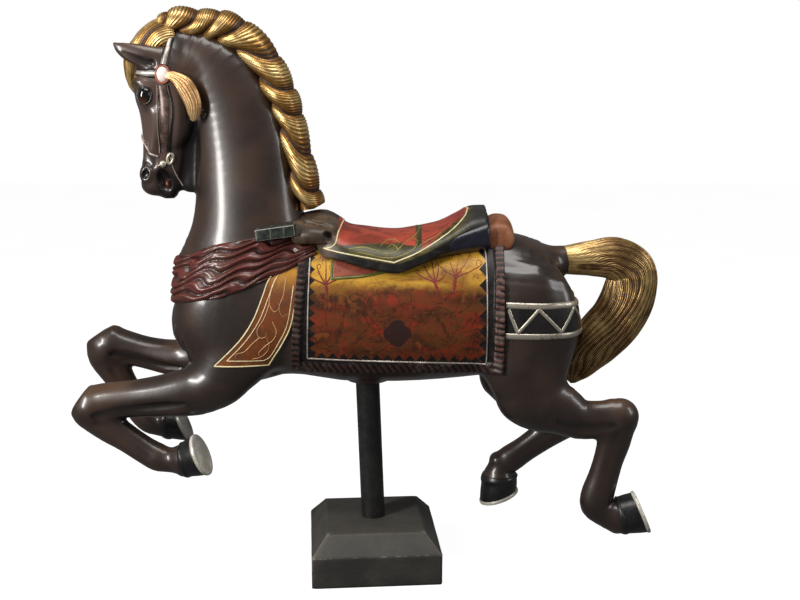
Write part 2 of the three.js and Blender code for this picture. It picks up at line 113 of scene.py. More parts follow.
NEAR_HIND_CANNON = [
    [574, -102, 403, 40, 31], [571, -102, 390, 43, 33], [565, -102, 343, 39, 29], [554, -101, 298, 35, 27],
    [543, -100, 253, 36, 28], [532, -100, 213, 39, 31], [529, -100, 186, 37, 33], [551, -100, 166, 34, 33],
    [580, -100, 157, 42, 40],
]
FAR_GASKIN = [
    [340, 100, 453, 78, 46], [371, 101, 411, 68, 45], [407, 102, 373, 55, 40], [441, 102, 345, 46, 35],
    [466, 102, 333, 40, 31],
]
FAR_HIND_CANNON = [
    [484, 102, 328, 38, 31], [471, 102, 321, 42, 33], [425, 102, 287, 36, 28], [380, 101, 254, 33, 27],
    [342, 100, 227, 35, 30], [323, 100, 212, 31, 30], [318, 100, 199, 35, 34], [317, 100, 187, 43, 41],
]
# Centre, way and radius of each hoof's coronet, and then of its sole.
HOOVES = {
    "near_fore": [[-440, -113, 301], [0.98, -0.05, 0.18], 41, [-401, -120, 315], [0.908, -0.08, 0.395], 48],
    "far_fore": [[-522, 106, 323], [0.985, 0.02, -0.16], 42, [-483, 110, 317], [0.91, 0.04, 0.40], 45],
    "near_hind": [[586, -100, 158], [0.982, 0.0, 0.187], 45, [632, -100, 166], [0.917, 0.0, 0.397], 50],
    "far_hind": [[317, 100, 184], [0.0, 0.0, -1.0], 46, [315, 100, 135], [0.33, 0.0, -0.944], 49],
}
TAIL = [
    [430, 0, 755, 30, 26], [471, 0, 757, 36, 33], [517, 0, 760, 41, 38], [569, 0, 758, 49, 44],
    [609, 0, 727, 56, 48], [605, 0, 669, 61, 50], [580, 0, 614, 61, 48], [542, 0, 569, 59, 45],
    [509, 0, 527, 49, 39], [486, 0, 485, 31, 27], [477, 0, 460, 9, 9],
]
MANE = [
    [-474, 0, 1290, 5, 8], [-464, 0, 1296, 20, 28], [-435, 0, 1298, 29, 38], [-393, 0, 1294, 30, 42],
    [-347, 0, 1290, 33, 42], [-301, 0, 1269, 36, 42], [-262, 0, 1237, 36, 42], [-225, 0, 1185, 33, 42],
    [-200, 0, 1123, 31, 43], [-182, 0, 1063, 30, 44], [-168, 0, 1003, 28, 46], [-155, 0, 938, 28, 48],
    [-138, 0, 883, 24, 40],
]
FORELOCK = [
    [-436, 4, 1272, 34, 44], [-466, 6, 1264, 43, 50], [-500, 10, 1246, 40, 46], [-528, 14, 1218, 33, 38],
    [-539, 16, 1188, 23, 29], [-541, 16, 1163, 14, 19], [-540, 15, 1143, 5, 8],
]
TASSEL = [
    [-461, -60, 1181, 9, 9], [-437, -66, 1179, 11, 10], [-413, -68, 1159, 19, 12], [-397, -68, 1125, 18, 12],
    [-395, -66, 1097, 13, 9], [-399, -64, 1083, 5, 4],
]
# x, level of the skirt's edge, seat above it, half width at the skirt.
SADDLE = [
    [-131, 795, 60, 92], [-109, 792, 74, 112], [-83, 790, 67, 124], [-55, 784, 55, 133], [-15, 773, 60, 139],
    [25, 765, 63, 142], [60, 762, 65, 144], [90, 772, 59, 142], [125, 786, 51, 136], [160, 803, 43, 127],
    [195, 822, 42, 116], [227, 836, 45, 106], [263, 842, 42, 96],
]
BLANKET_FRONT, BLANKET_BACK, BLANKET_HEM = -183, 302, 520
OUTLINE_FRONT, OUTLINE_BACK, OUTLINE_HEM = -142, 262, 550
BRAID_FRONT, BRAID_BACK, BRAID_HEM, BRAID_SLANT = -160, 277, 544, 0.075
SLANT_FROM, SLANT_TO = 560, 800
# A cloth over the back turns in at this level, and its way over the top is this long.
BACK_LEVEL, BACK_ARC = 740, 420
BACK_WHOLE = 2 * BACK_LEVEL + BACK_ARC


# ---------------------------------------------------------------- clay: shapes as fields of distance

def glided(stations, steps):
    """Stations in metres, with smooth ones added between them."""
    table = (np.array(stations, float) * MM).astype(np.float32)
    padded = np.vstack([table[:1], table, table[-1:]])
    dense = []
    for i in range(len(table) - 1):
        before, start, end, after = padded[i:i + 4]
        slope_in, slope_out = (end - before) / 2, (after - start) / 2
        rise = end - start
        for t in [np.float32(step / steps) for step in range(steps)]:
            bend = 3 * rise - 2 * slope_in - slope_out + t * (slope_in + slope_out - 2 * rise)
            dense.append(start + t * (slope_in + t * bend))
    dense.append(table[-1])
    return np.array(dense)


class Chain:
    """A limb of elliptical sections strung on stations."""

    def __init__(self, stations, power=2.0, steps=3):
        self.stations = glided(stations, steps)
        self.power = power
        reach = self.stations[:, 3:].max(axis=1)[:, None]
        self.low = (self.stations[:, :3] - reach).min(axis=0)
        self.high = (self.stations[:, :3] + reach).max(axis=0)

    def distance(self, x, y, z):
        nearest = np.full(np.broadcast_shapes(x.shape, y.shape, z.shape), 1e9, np.float32)
        inside = np.zeros_like(nearest)
        hair = np.float32(1e-8)
        for start, end in zip(self.stations[:-1], self.stations[1:]):
            run = end[:3] - start[:3]
            length = run @ run
            dx, dy, dz = x - start[0], y - start[1], z - start[2]
            t = np.clip((dx * run[0] + dy * run[1] + dz * run[2]) / length, 0, 1)
            dx, dy, dz = dx - t * run[0], dy - t * run[1], dz - t * run[2]
            across = np.array([0, 1, 0], np.float32) - run * (run[1] / length)
            across /= np.linalg.norm(across)
            square = dx * dx + dy * dy + dz * dz + hair
            side = dx * across[0] + dy * across[1] + dz * across[2]
            rest = np.sqrt(np.maximum(square - side * side, 0))
            depth = start[3] + t * (end[3] - start[3])
            width = start[4] + t * (end[4] - start[4])
            if self.power == 2:
                level = np.sqrt((rest / depth) ** 2 + (side / width) ** 2)
            else:
                power = np.float32(self.power)
                level = ((rest / depth) ** power + (np.abs(side) / width) ** power) ** (1 / power)
            closer = square < nearest
            nearest = np.where(closer, square, nearest)
            inside = np.where(closer, np.sqrt(square) * (1 - 1 / np.maximum(level, hair)), inside)
        return inside


class Lump:
    """An ellipsoid, tilted about Y by some degrees."""

    def __init__(self, centre, radii, tilt=0.0):
        self.centre = (np.array(centre, float) * MM).astype(np.float32)
        self.radii = (np.array(radii, float) * MM).astype(np.float32)
        a = math.radians(tilt)
        about_y = np.array([[math.cos(a), 0, math.sin(a)], [0, 1, 0], [-math.sin(a), 0, math.cos(a)]])
        self.axes = about_y.T.astype(np.float32)
        self.low = self.centre - self.radii.max()
        self.high = self.centre + self.radii.max()

    def distance(self, x, y, z):
        dx, dy, dz = x - self.centre[0], y - self.centre[1], z - self.centre[2]
        near, pull = np.float32(1e-6), np.float32(1e-6) / self.radii.max() ** 2
        for axis, radius in zip(self.axes, self.radii):
            part = (dx * axis[0] + dy * axis[1] + dz * axis[2]) / radius
            near = near + part * part
            pull = pull + (part / radius) ** 2
        near = np.sqrt(near)
        return near * (near - 1) / np.sqrt(pull)


EMPTY = 0.2
LEAST_MARGIN = 45


class Clay:
    """A grid of distances to the wood's surface, negative inside it and EMPTY metres at first."""

    def __init__(self, low, high, cell):
        self.low = np.array(low, float) * MM
        self.cell = cell * MM
        count = np.ceil((np.array(high) * MM - self.low) / self.cell).astype(int) + 1
        self.axes = [(self.low[i] + self.cell * np.arange(count[i])).astype(np.float32) for i in range(3)]
        self.field = np.full(count, EMPTY, np.float32)

    def window(self, shape, margin):
        first = ((shape.low - margin - self.low) / self.cell).astype(int)
        last = ((shape.high + margin - self.low) / self.cell).astype(int) + 2
        first = np.clip(first, 0, self.field.shape)
        last = np.clip(last, 0, self.field.shape)
        return tuple(slice(a, b) for a, b in zip(first, last))

    def work(self, shape, blend, cutting):
        margin = max(blend, LEAST_MARGIN) * MM + 3 * self.cell
        place = self.window(shape, margin)
        if min(cut.stop - cut.start for cut in place) < 1:
            return
        x, y, z = np.ix_(*[axis[cut] for axis, cut in zip(self.axes, place)])
        new = shape.distance(x, y, z).astype(np.float32)
        old = self.field[place]
        k = np.float32(max(blend * MM, 1e-5))
        if cutting:
            share = np.clip(0.5 - 0.5 * (new + old) / k, 0, 1)
            self.field[place] = old + share * (-new - old) + k * share * (1 - share)
        else:
            share = np.clip(0.5 + 0.5 * (old - new) / k, 0, 1)
            self.field[place] = old + share * (new - old) - k * share * (1 - share)

    def add(self, shape, blend=0.0):
        self.work(shape, blend, False)

    def cut(self, shape, blend=0.0):
        self.work(shape, blend, True)

    def sampled(self, points):
        """The field at some points, between the grid's corners."""
        spot = (points - self.low) / self.cell
        spot = np.clip(spot, 0, np.array(self.field.shape) - 1.001)
        corner = spot.astype(int)
        fx, fy, fz = (spot - corner).T
        i, j, k = corner.T
        f = self.field
        low = (f[i, j, k] * (1 - fx) + f[i + 1, j, k] * fx) * (1 - fy)
        low += (f[i, j + 1, k] * (1 - fx) + f[i + 1, j + 1, k] * fx) * fy
        high = (f[i, j, k + 1] * (1 - fx) + f[i + 1, j, k + 1] * fx) * (1 - fy)
        high += (f[i, j + 1, k + 1] * (1 - fx) + f[i + 1, j + 1, k + 1] * fx) * fy
        return low * (1 - fz) + high * fz

    def outward(self, points):
        step = self.cell
        slopes = [self.sampled(points + axis) - self.sampled(points - axis) for axis in np.eye(3) * step]
        slope = np.stack(slopes, axis=1)
        return slope / np.maximum(np.linalg.norm(slope, axis=1), 1e-9)[:, None]

    def touched(self, starts, ways, reach):
        """Where lines from starts along ways first meet the surface."""
        travel = np.zeros(len(starts))
        step = self.cell * 0.8
        going = np.ones(len(starts), bool)
        for _ in range(int(reach / step)):
            depth = self.sampled(starts + travel[:, None] * ways)
            going &= depth > 0
            if not going.any():
                break
            travel[going] += step
        short, far = travel - step, travel.copy()
        for _ in range(12):
            middle = (short + far) / 2
            outside = self.sampled(starts + middle[:, None] * ways) > 0
            short = np.where(outside, middle, short)
            far = np.where(outside, far, middle)
        return starts + far[:, None] * ways

    def surface(self, keep=None):
        """Vertices and four-sided faces of the surface, smoothed onto the field."""
        f = self.field
        solid = f < 0
        total = np.zeros(np.array(f.shape) - 1, np.int8)
        corners = [(i, j, k) for i in (0, 1) for j in (0, 1) for k in (0, 1)]
        n = total.shape
        for i, j, k in corners:
            total += solid[i:i + n[0], j:j + n[1], k:k + n[2]]
        mixed = (total > 0) & (total < 8)
        cells = np.argwhere(mixed)
        values = np.stack([f[tuple((cells + c).T)] for c in corners], axis=1)
        sums = np.zeros((len(cells), 3))
        counts = np.zeros(len(cells))
        for a in range(8):
            for b in range(a + 1, 8):
                ca, cb = np.array(corners[a]), np.array(corners[b])
                if abs(cb - ca).sum() != 1:
                    continue
                va, vb = values[:, a], values[:, b]
                crossing = (va < 0) != (vb < 0)
                t = np.where(crossing, va / np.where(crossing, va - vb, 1), 0)
                sums += crossing[:, None] * (ca + t[:, None] * (cb - ca))
                counts += crossing
        places = self.low + (cells + sums / counts[:, None]) * self.cell
        for _ in range(2):
            short = np.clip(self.sampled(places) * 0.8, -self.cell / 3, self.cell / 3)
            places -= self.outward(places) * short[:, None]
        number = np.full(mixed.shape, -1, np.int32)
        number[tuple(cells.T)] = np.arange(len(cells))
        quads = []
        for axis in range(3):
            lower = np.take(solid, range(solid.shape[axis] - 1), axis)
            upper = np.take(solid, range(1, solid.shape[axis]), axis)
            edges = np.argwhere(lower != upper)
            u, v = [np.eye(3, dtype=int)[(axis + s) % 3] for s in (1, 2)]
            fits = np.ones(len(edges), bool)
            for other in ((axis + 1) % 3, (axis + 2) % 3):
                fits &= (edges[:, other] > 0) & (edges[:, other] < solid.shape[other] - 1)
            edges = edges[fits]
            ring = [number[tuple((edges - back).T)] for back in (u + v, v, 0 * u, u)]
            quad = np.stack(ring, axis=1)
            flip = ~solid[tuple(edges.T)]
            quad[flip] = quad[flip][:, ::-1]
            quads.append(quad)
        quads = np.vstack(quads)
        quads = quads[(quads >= 0).all(axis=1)]
        if keep is not None:
            middle = places[quads].mean(axis=1)
            quads = quads[keep(*middle.T)]
        used, renumbered = np.unique(quads, return_inverse=True)
        return places[used], renumbered.reshape(quads.shape)


# ---------------------------------------------------------------- meshes

def piece(name, points, faces, paint, normals=None, rise=None, slot="horse", stands_for="horse"):
    """A mesh from points in metres and arrays of faces, riding on the frame."""
    faces = [np.asarray(group) for group in faces if len(group)]
    mesh = bpy.data.meshes.new(name)
    mesh.vertices.add(len(points))
    mesh.vertices.foreach_set("co", np.asarray(points, np.float32).ravel())
    corners = np.concatenate([group.ravel() for group in faces])
    sizes = np.concatenate([np.full(len(group), group.shape[1]) for group in faces])
    mesh.loops.add(len(corners))
    mesh.loops.foreach_set("vertex_index", corners.astype(np.int32))
    mesh.polygons.add(len(sizes))
    mesh.polygons.foreach_set("loop_start", (np.cumsum(sizes) - sizes).astype(np.int32))
    mesh.update(calc_edges=True)
    mesh.validate()
    mesh.polygons.foreach_set("use_smooth", np.ones(len(mesh.polygons), bool))
    if rise is not None:
        layer = mesh.attributes.new("rise", "FLOAT", "POINT")
        layer.data.foreach_set("value", np.asarray(rise, np.float32))
    if normals is not None:
        mesh.normals_split_custom_set_from_vertices(normals.tolist())
    made = bpy.data.objects.new(name, mesh)
    bpy.context.scene.collection.objects.link(made)
    made.data.materials.append(paint)
    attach(made, "root")
    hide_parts(stands_for)
    return made


def grid_faces(rows, columns, ring=False, start=0):
    """Four-sided faces over a grid of points, closed along its columns when it is a ring."""
    across = columns if ring else columns - 1
    i, j = np.meshgrid(np.arange(rows - 1), np.arange(across), indexing="ij")
    a = start + i * columns + j
    b = start + i * columns + (j + 1) % columns
    return np.stack([a, b, b + columns, a + columns], axis=-1).reshape(-1, 4)


def facing_out(points, faces):
    """The faces, turned round when a closed form's volume comes out negative."""
    total = 0
    for group in faces:
        if len(group):
            a, b, c = [points[group[:, k]] for k in range(3)]
            total += np.einsum("ij,ij->", a, np.cross(b, c))
            if group.shape[1] == 4:
                d = points[group[:, 3]]
                total += np.einsum("ij,ij->", a, np.cross(c, d))
    return [group[:, ::-1] if total < 0 else group for group in faces]


def capped_faces(points, rows, sides):
    """The faces of a closed form: rings of points, then the middle of its first end and of its last."""
    ring = np.arange(sides)
    onward, last = np.roll(ring, -1), (rows - 1) * sides
    caps = [np.stack([onward, ring, np.full(sides, rows * sides)], axis=1),
            np.stack([last + ring, last + onward, np.full(sides, rows * sides + 1)], axis=1)]
    return facing_out(points, [grid_faces(rows, sides, ring=True), np.vstack(caps)])


def curve(knots, spacing):
    """A smooth run through knots of any width, resampled at even spacing in the knots' own unit."""
    knots = np.array(knots, float)
    padded = np.vstack([2 * knots[0] - knots[1], knots, 2 * knots[-1] - knots[-2]])
    dense = []
    for i in range(len(knots) - 1):
        before, start, end, after = padded[i:i + 4]
        for t in np.arange(12) / 12:
            dense.append(0.5 * (2 * start + (end - before) * t
                                + (2 * before - 5 * start + 4 * end - after) * t * t
                                + (3 * start - before - 3 * end + after) * t ** 3))
    dense = np.array(dense + [knots[-1]])
    return respaced(dense, spacing)


def respaced(knots, spacing):
    """Points at even spacing along straight runs between knots."""
    knots = np.array(knots, float)
    step = np.linalg.norm(np.diff(knots[:, :2], axis=0), axis=1)
    along = np.concatenate([[0], np.cumsum(step)])
    count = max(2, int(round(along[-1] / spacing)) + 1)
    at = np.linspace(0, along[-1], count)
    return np.stack([np.interp(at, along, column) for column in knots.T], axis=1)


# Below this radius the carving of a turned form fades out.
FADE_RADIUS = 12


def turned_form(stations, sides, steps, height=None, power=2.0, facing=None, ends=(0.4, 0.4)):
    """A closed skin over stations of x, y, z, depth and half width. height gives how far each point
    stands out, from its share of the length and its angle, and the height's share becomes its rise."""
    dense = glided(stations, steps).astype(float)
    centres = dense[:, :3]
    run = np.gradient(centres, axis=0)
    if facing is not None:
        run[:] = facing
    run /= np.linalg.norm(run, axis=1)[:, None]
    across = np.array([0.0, 1.0, 0.0]) - run * run[:, 1:2]
    across /= np.linalg.norm(across, axis=1)[:, None]
    inplane = np.cross(across, run)
    angle = np.linspace(0, 2 * math.pi, sides, endpoint=False)
    shape = 2 / power
    c = np.sign(np.cos(angle)) * np.abs(np.cos(angle)) ** shape
    s = np.sign(np.sin(angle)) * np.abs(np.sin(angle)) ** shape
    share = np.linspace(0, 1, len(dense))[:, None] * np.ones(sides)
    if height is None:
        out = crest = np.zeros_like(share)
    else:
        out, crest = height(share, angle * np.ones_like(share))
    out = out * MM
    depth, width = dense[:, 3:4], dense[:, 4:5]
    small = np.minimum(depth, width)
    out = out * np.clip(small / (FADE_RADIUS * MM), 0, 1)
    points = centres[:, None] + across[:, None] * (c * width + np.cos(angle) * out)[..., None]
    points = points + inplane[:, None] * (s * depth + np.sin(angle) * out)[..., None]
    tips = [centres[0] - run[0] * small[0] * ends[0], centres[-1] + run[-1] * small[-1] * ends[1]]
    everything = np.vstack([points.reshape(-1, 3), tips])
    rise = np.concatenate([crest.ravel(), [0.5, 0.5]])
    return everything, capped_faces(everything, len(dense), sides), rise


# ---------------------------------------------------------------- ways of laying work on the wood

# How far out the rays start, and how far each may go.
RAY_START, RAY_REACH = 350, 345


def from_the_side(side):
    """Rays across the horse, for places given as x and z."""
    def rays(a, b):
        starts = np.stack([a, np.full_like(a, side * RAY_START), b], axis=-1) * MM
        return starts, np.broadcast_to([0.0, -float(side), 0.0], starts.shape)
    return rays


def over_the_back(x, b):
    """Rays for a cloth over the back. b is a level on the left, then a way over the top, then it goes
    on down the right."""
    angle = np.clip((b - BACK_LEVEL) / BACK_ARC, 0, 1) * math.pi
    level = np.where(b < BACK_LEVEL, b, np.where(b > BACK_LEVEL + BACK_ARC, BACK_WHOLE - b, BACK_LEVEL))
    out = np.stack([np.zeros_like(b), -np.cos(angle), np.sin(angle)], axis=-1)
    centre = np.stack([x, np.zeros_like(b), level], axis=-1) * MM
    return centre + RAY_START * MM * out, -out


def round_the_end(pivot, nose, arc):
    """Rays round the chest or the rump: a is 0 at the middle of the end, negative on the left side."""
    def rays(a, b):
        angle = np.clip(np.abs(a) / arc, 0, 1) * math.pi / 2
        x = pivot - nose * np.clip(np.abs(a) - arc, 0, None)
        out = np.stack([nose * np.cos(angle), np.sign(a) * np.sin(angle), np.zeros_like(angle)], axis=-1)
        centre = np.stack([x, np.zeros_like(angle), b], axis=-1) * MM
        return centre + RAY_START * MM * out, -out
    return rays


CHEST_PIVOT, CHEST_ARC = -335, 200
RUMP_PIVOT, RUMP_ARC = 375, 150
round_the_chest = round_the_end(CHEST_PIVOT, -1, CHEST_ARC)
round_the_rump = round_the_end(RUMP_PIVOT, 1, RUMP_ARC)


def met(wood, rays, a, b):
    """The wood's surface and its outward direction where the rays meet it."""
    starts, ways = rays(np.asarray(a, float), np.asarray(b, float))
    shape = starts.shape
    starts, ways = starts.reshape(-1, 3), np.ascontiguousarray(ways).reshape(-1, 3)
    points = wood.touched(starts, ways, RAY_REACH * MM)
    return points.reshape(shape), wood.outward(points).reshape(shape)


def relief(name, wood, rays, a, b, height, paint, rise=None, sink=4.0):
    """A cloth or panel carved proud of the wood: heights in mm over a grid of places, with its edges
    turned down below the surface."""
    points, out = met(wood, rays, a, b)
    points = points + out * (height * MM)[..., None]
    edged = np.pad(points, ((1, 1), (1, 1), (0, 0)), mode="edge")
    outward = np.pad(out, ((1, 1), (1, 1), (0, 0)), mode="edge")
    drop = np.pad(np.zeros(height.shape), 1, constant_values=1) * np.pad(height + sink, 1, mode="edge")
    edged = edged - outward * (drop * MM)[..., None]
    rows, columns = edged.shape[:2]
    faces = grid_faces(rows, columns)
    flat = edged.reshape(-1, 3)
    middle = faces[len(faces) // 2]
    normal = np.cross(flat[middle[1]] - flat[middle[0]], flat[middle[2]] - flat[middle[0]])
    if normal @ outward.reshape(-1, 3)[middle[0]] < 0:
        faces = faces[:, ::-1]
    share = height / max(height.max(), 1e-9) if rise is None else rise
    return piece(name, flat, [faces], paint, rise=np.pad(share, 1, mode="edge").ravel())


# A raised line's section, as shares of its half width and its height, and how deep its edges go.
SECTION = np.array(
    [[-1.0, -0.5], [-0.85, 0.45], [-0.45, 0.9], [0.0, 1.0], [0.45, 0.9], [0.85, 0.45], [1.0, -0.5]])
LINE_SINK = 2.0


def strokes(name, wood, rays, paths, paint, width=4.0, height=1.2, lift=0.0, spacing=3.0, smooth=True):
    """Raised lines laid on the wood along paths of places, as one piece. A place's third number is the
    line's width there."""
    points, faces, rises, count = [], [], [], 0
    for path in paths:
        knots = np.array([list(knot) + [width] * (3 - len(knot)) for knot in path], float)
        run = curve(knots, spacing) if smooth else respaced(knots, spacing)
        if len(run) < 3:
            run = respaced(knots, spacing / 3)
        place, out = met(wood, rays, run[:, 0], run[:, 1])
        along = np.gradient(place, axis=0)
        aside = np.cross(out, along)
        aside /= np.maximum(np.linalg.norm(aside, axis=1), 1e-9)[:, None]
        half = run[:, 2] / 2
        line = place[:, None] + aside[:, None] * (SECTION[:, 0] * half[:, None] * MM)[..., None]
        stand = lift + np.where(SECTION[:, 1] > 0, SECTION[:, 1] * height, -LINE_SINK - lift)
        line = line + out[:, None] * (stand * MM)[None, :, None]
        size = len(SECTION)
        points.append(line.reshape(-1, 3))
        faces.append(grid_faces(len(run), size, start=count))
        rises.append(np.tile(np.clip(SECTION[:, 1], 0, 1), len(run)))
        count += len(run) * size
    return piece(name, np.vstack(points), [np.vstack(faces)], paint, rise=np.concatenate(rises))


def both_sides(name, wood, paths, paint, **how):
    """The same raised lines on the horse's left and right."""
    for side, word in SIDES:
        strokes(f"{name}_{word}", wood, from_the_side(side), paths, paint, **how)


def formed(name, stations, sides, steps, paint, height=None, **how):
    """A turned form as a piece."""
    slots = {key: how.pop(key) for key in ("slot", "stands_for") if key in how}
    points, faces, rise = turned_form(stations, sides, steps, height, **how)
    return piece(name, points, faces, paint, rise=rise, **slots)


def mirrored(stations):
    return [[x, -y, *rest] for x, y, *rest in stations]


# ---------------------------------------------------------------- finishes

class Shade:
    """A shader value. Sums, products and powers of it add their nodes."""

    def __init__(self, paint, socket):
        self.paint, self.socket = paint, socket

    def maths(self, way, *others):
        return self.paint.node("Math", {"operation": way}, dict(enumerate(others)))

    def __add__(self, other):
        return self.maths("ADD", self, other)

    def __radd__(self, other):
        return self.maths("ADD", other, self)

    def __sub__(self, other):
        return self.maths("SUBTRACT", self, other)

    def __rsub__(self, other):
        return self.maths("SUBTRACT", other, self)

    def __mul__(self, other):
        return self.maths("MULTIPLY", self, other)

    def __rmul__(self, other):
        return self.maths("MULTIPLY", other, self)

    def __truediv__(self, other):
        return self.maths("DIVIDE", self, other)

    def __pow__(self, other):
        return self.maths("POWER", self, other)

    def __abs__(self):
        return self.maths("ABSOLUTE", self)

    def least(self, other):
        return self.maths("MINIMUM", self, other)

    def most(self, other):
        return self.maths("MAXIMUM", self, other)

    def wave(self, pitch):
        """0 to 1 and back over each pitch, in straight lines."""
        return self.maths("PINGPONG", self, pitch / 2) / (pitch / 2)

    def ease(self, low, high):
        """0 below low and 1 above high, smoothly; the other way round when low is above high."""
        settings = {"interpolation_type": "SMOOTHSTEP", "clamp": True}
        if low < high:
            sockets = {"Value": self, "From Min": low, "From Max": high}
            return self.paint.node("MapRange", settings, sockets)
        sockets = {"Value": self, "From Min": high, "From Max": low, "To Min": 1.0, "To Max": 0.0}
        return self.paint.node("MapRange", settings, sockets)


class Paint:
    """A finish made of nodes. Colours are given as they look, from 0 to 255."""

    def __init__(self, name):
        self.material = bpy.data.materials.new(name)
        self.material.use_nodes = True
        self.tree = self.material.node_tree
        self.shader = self.tree.nodes["Principled BSDF"]
        self.place = self.node("TexCoord", {}, {}, "Object")
        parts = [self.node("SeparateXYZ", {}, {"Vector": self.place}, axis) for axis in "XYZ"]
        self.x, self.y, self.z = parts

    def node(self, kind, settings, sockets, out=0):
        made = self.tree.nodes.new("ShaderNode" + kind)
        for name, value in settings.items():
            setattr(made, name, value)
        for name, value in sockets.items():
            self.feed(made.inputs[name], value)
        return Shade(self, made.outputs[out])

    def feed(self, socket, value):
        if isinstance(value, Shade):
            self.tree.links.new(value.socket, socket)
        elif isinstance(value, tuple) and socket.type == "RGBA":
            socket.default_value = (*[tone(part) for part in value], 1.0)
        else:
            socket.default_value = value

    def noise(self, scale, detail=3.0, twist=0.0, stretch=(1, 1, 1)):
        place = self.node("VectorMath", {"operation": "MULTIPLY"}, {0: self.place, 1: stretch})
        sockets = {"Vector": place, "Scale": scale, "Detail": detail, "Distortion": twist}
        return self.node("TexNoise", {}, sockets, "Fac")

    def rise(self):
        """What a piece's own carving stores: 0 in its cuts and 1 on its crests."""
        return self.node("Attribute", {"attribute_name": "rise"}, {}, "Fac")

    def mix(self, share, under, over):
        """Colour over laid on colour under by share."""
        sockets = {0: share, 6: under, 7: over}
        return self.node("Mix", {"data_type": "RGBA"}, sockets, 2)

    def patch(self, x, z, long, wide, tilt=0.0):
        """1 inside an upright oval at a place seen from the side, given in millimetres."""
        a = math.radians(tilt)
        u, v = self.x - x * MM, self.z - z * MM
        across = (u * math.cos(a) + v * math.sin(a)) / (wide * MM)
        along = (v * math.cos(a) - u * math.sin(a)) / (long * MM)
        return (across * across + along * along).ease(1.15, 0.7)

    def upward(self):
        normal = self.node("NewGeometry", {}, {}, "Normal")
        return self.node("SeparateXYZ", {}, {"Vector": normal}, "Z")

    def done(self, colour, rough, metal=0.0, bump=None, depth=0.0004, coat=0.0, coat_rough=0.2,
             specular=0.5):
        self.feed(self.shader.inputs["Base Color"], colour)
        self.feed(self.shader.inputs["Roughness"], rough)
        self.feed(self.shader.inputs["Metallic"], metal)
        self.feed(self.shader.inputs["Coat Weight"], coat)
        self.shader.inputs["Coat Roughness"].default_value = coat_rough
        self.shader.inputs["Specular IOR Level"].default_value = specular
        if bump is not None:
            raised = self.node("Bump", {}, {"Strength": 1.0, "Distance": depth, "Height": bump})
            self.feed(self.shader.inputs["Normal"], raised)
        return self.material


def tone(value):
    """A seen tone of 0 to 255 as the light it gives back."""
    value = value / 255
    return value / 12.92 if value <= 0.04045 else ((value + 0.055) / 1.055) ** 2.4


def brown_lacquer():
    paint = Paint("brown_lacquer")
    cloud = paint.noise(7, 4, 0.4)
    grain = paint.noise(30, 5, 0.3, (0.35, 1, 0.5))
    specks = paint.noise(160, 2)
    # Painted highlight: upward faces lighter and warmer, broken into patches like wear.
    top_highlight_and_wear = paint.upward().ease(0.2, 1.0) * cloud.ease(0.35, 0.65)
    # Painted sheen: a lighter, grainy patch over the face and cheeks.
    face = paint.patch(-482, 1090, 120, 56, -5)
    colour = paint.mix(cloud.ease(0.35, 0.7), (37, 27, 23), (60, 43, 34))
    colour = paint.mix(grain.ease(0.5, 0.75) * 0.5, colour, (28, 20, 18))
    colour = paint.mix(top_highlight_and_wear * 0.45, colour, (98, 72, 50))
    colour = paint.mix(face * (0.4 + 0.3 * grain), colour, (98, 78, 70))
    # Painted shade in the deep gap between the jaw and the neck.
    throat_shade = paint.patch(-413, 996, 88, 24, -8) * (abs(paint.y) - 0.05).ease(0.006, -0.004)
    mouth = paint.patch(-470, 936, 44, 23, 14).most(paint.patch(-515, 958, 12, 8))
    # Painted shade: darker in the carving's hollows, where the wood is least open, a little patchy.
    colour = paint.mix((paint.rise() + (cloud - 0.5) * 0.2).ease(0.94, 0.62) * 0.7, colour, (17, 12, 10))
    # Painted shade in the throat gap, and near-black in the mouth and the nostril.
    colour = paint.mix(throat_shade.most(mouth) * 0.9, colour, (11, 9, 9))
    colour = paint.mix(specks.ease(0.68, 0.74) * 0.5, colour, (20, 15, 13))
    rough = 0.27 + 0.14 * grain + 0.1 * cloud
    return paint.done(colour, rough, bump=grain * 0.7 + cloud * 0.8 + specks * 0.12, depth=0.0012, coat=0.6,
                      coat_rough=0.17)


def gilded(name, deep, mid, bright, worn, stain=None):
    """Gold leaf over a dark ground that shows in the cuts, darkened there as painted shade, with paler leaf
    along the crests as a painted highlight.
    """
    paint = Paint(name)
    rise = paint.rise()
    cloud = paint.noise(18, 4, 0.6)
    flecks = paint.noise(90, 3)
    laid = rise + (cloud - 0.5) * 0.45 + (flecks - 0.5) * 0.3
    # Where the rise is low the dark ground shows: partly the ground under the leaf, partly painted shade in
    # the cuts.
    leaf = laid.ease(worn - 0.16, worn + 0.20)
    # Painted highlight: the bright colour laid on the crests.
    colour = paint.mix((laid * 0.75 + cloud * 0.35).ease(0.62, 0.98), mid, bright)
    colour = paint.mix(leaf, deep, colour)
    if stain is not None:
        colour = paint.mix(paint.patch(*stain) * cloud.ease(0.3, 0.6) * 0.85, colour, (72, 30, 18))
    return paint.done(colour, 0.44 - 0.14 * leaf + 0.1 * flecks, metal=leaf * 0.75,
                      bump=flecks + cloud * 0.5, depth=0.0005)


def drape_glaze():
    paint = Paint("drape_wine_glaze")
    rise = paint.rise()
    cloud = paint.noise(22, 4, 0.5)
    fleck = paint.noise(120, 2)
    # Painted shade and highlight: darker in the troughs of the folds and lighter on their crests.
    colour = paint.mix(rise.ease(0.2, 0.95), (36, 17, 15), (92, 42, 36))
    colour = paint.mix(cloud.ease(0.45, 0.75) * 0.6, colour, (66, 44, 34))
    # Painted highlight: pale flecks along the crests of the folds.
    colour = paint.mix((rise + (fleck - 0.5) * 0.6).ease(0.95, 1.15) * 0.5, colour, (140, 104, 84))
    return paint.done(colour, 0.26 + 0.2 * cloud, bump=cloud + fleck * 0.2, depth=0.0008, coat=0.3)


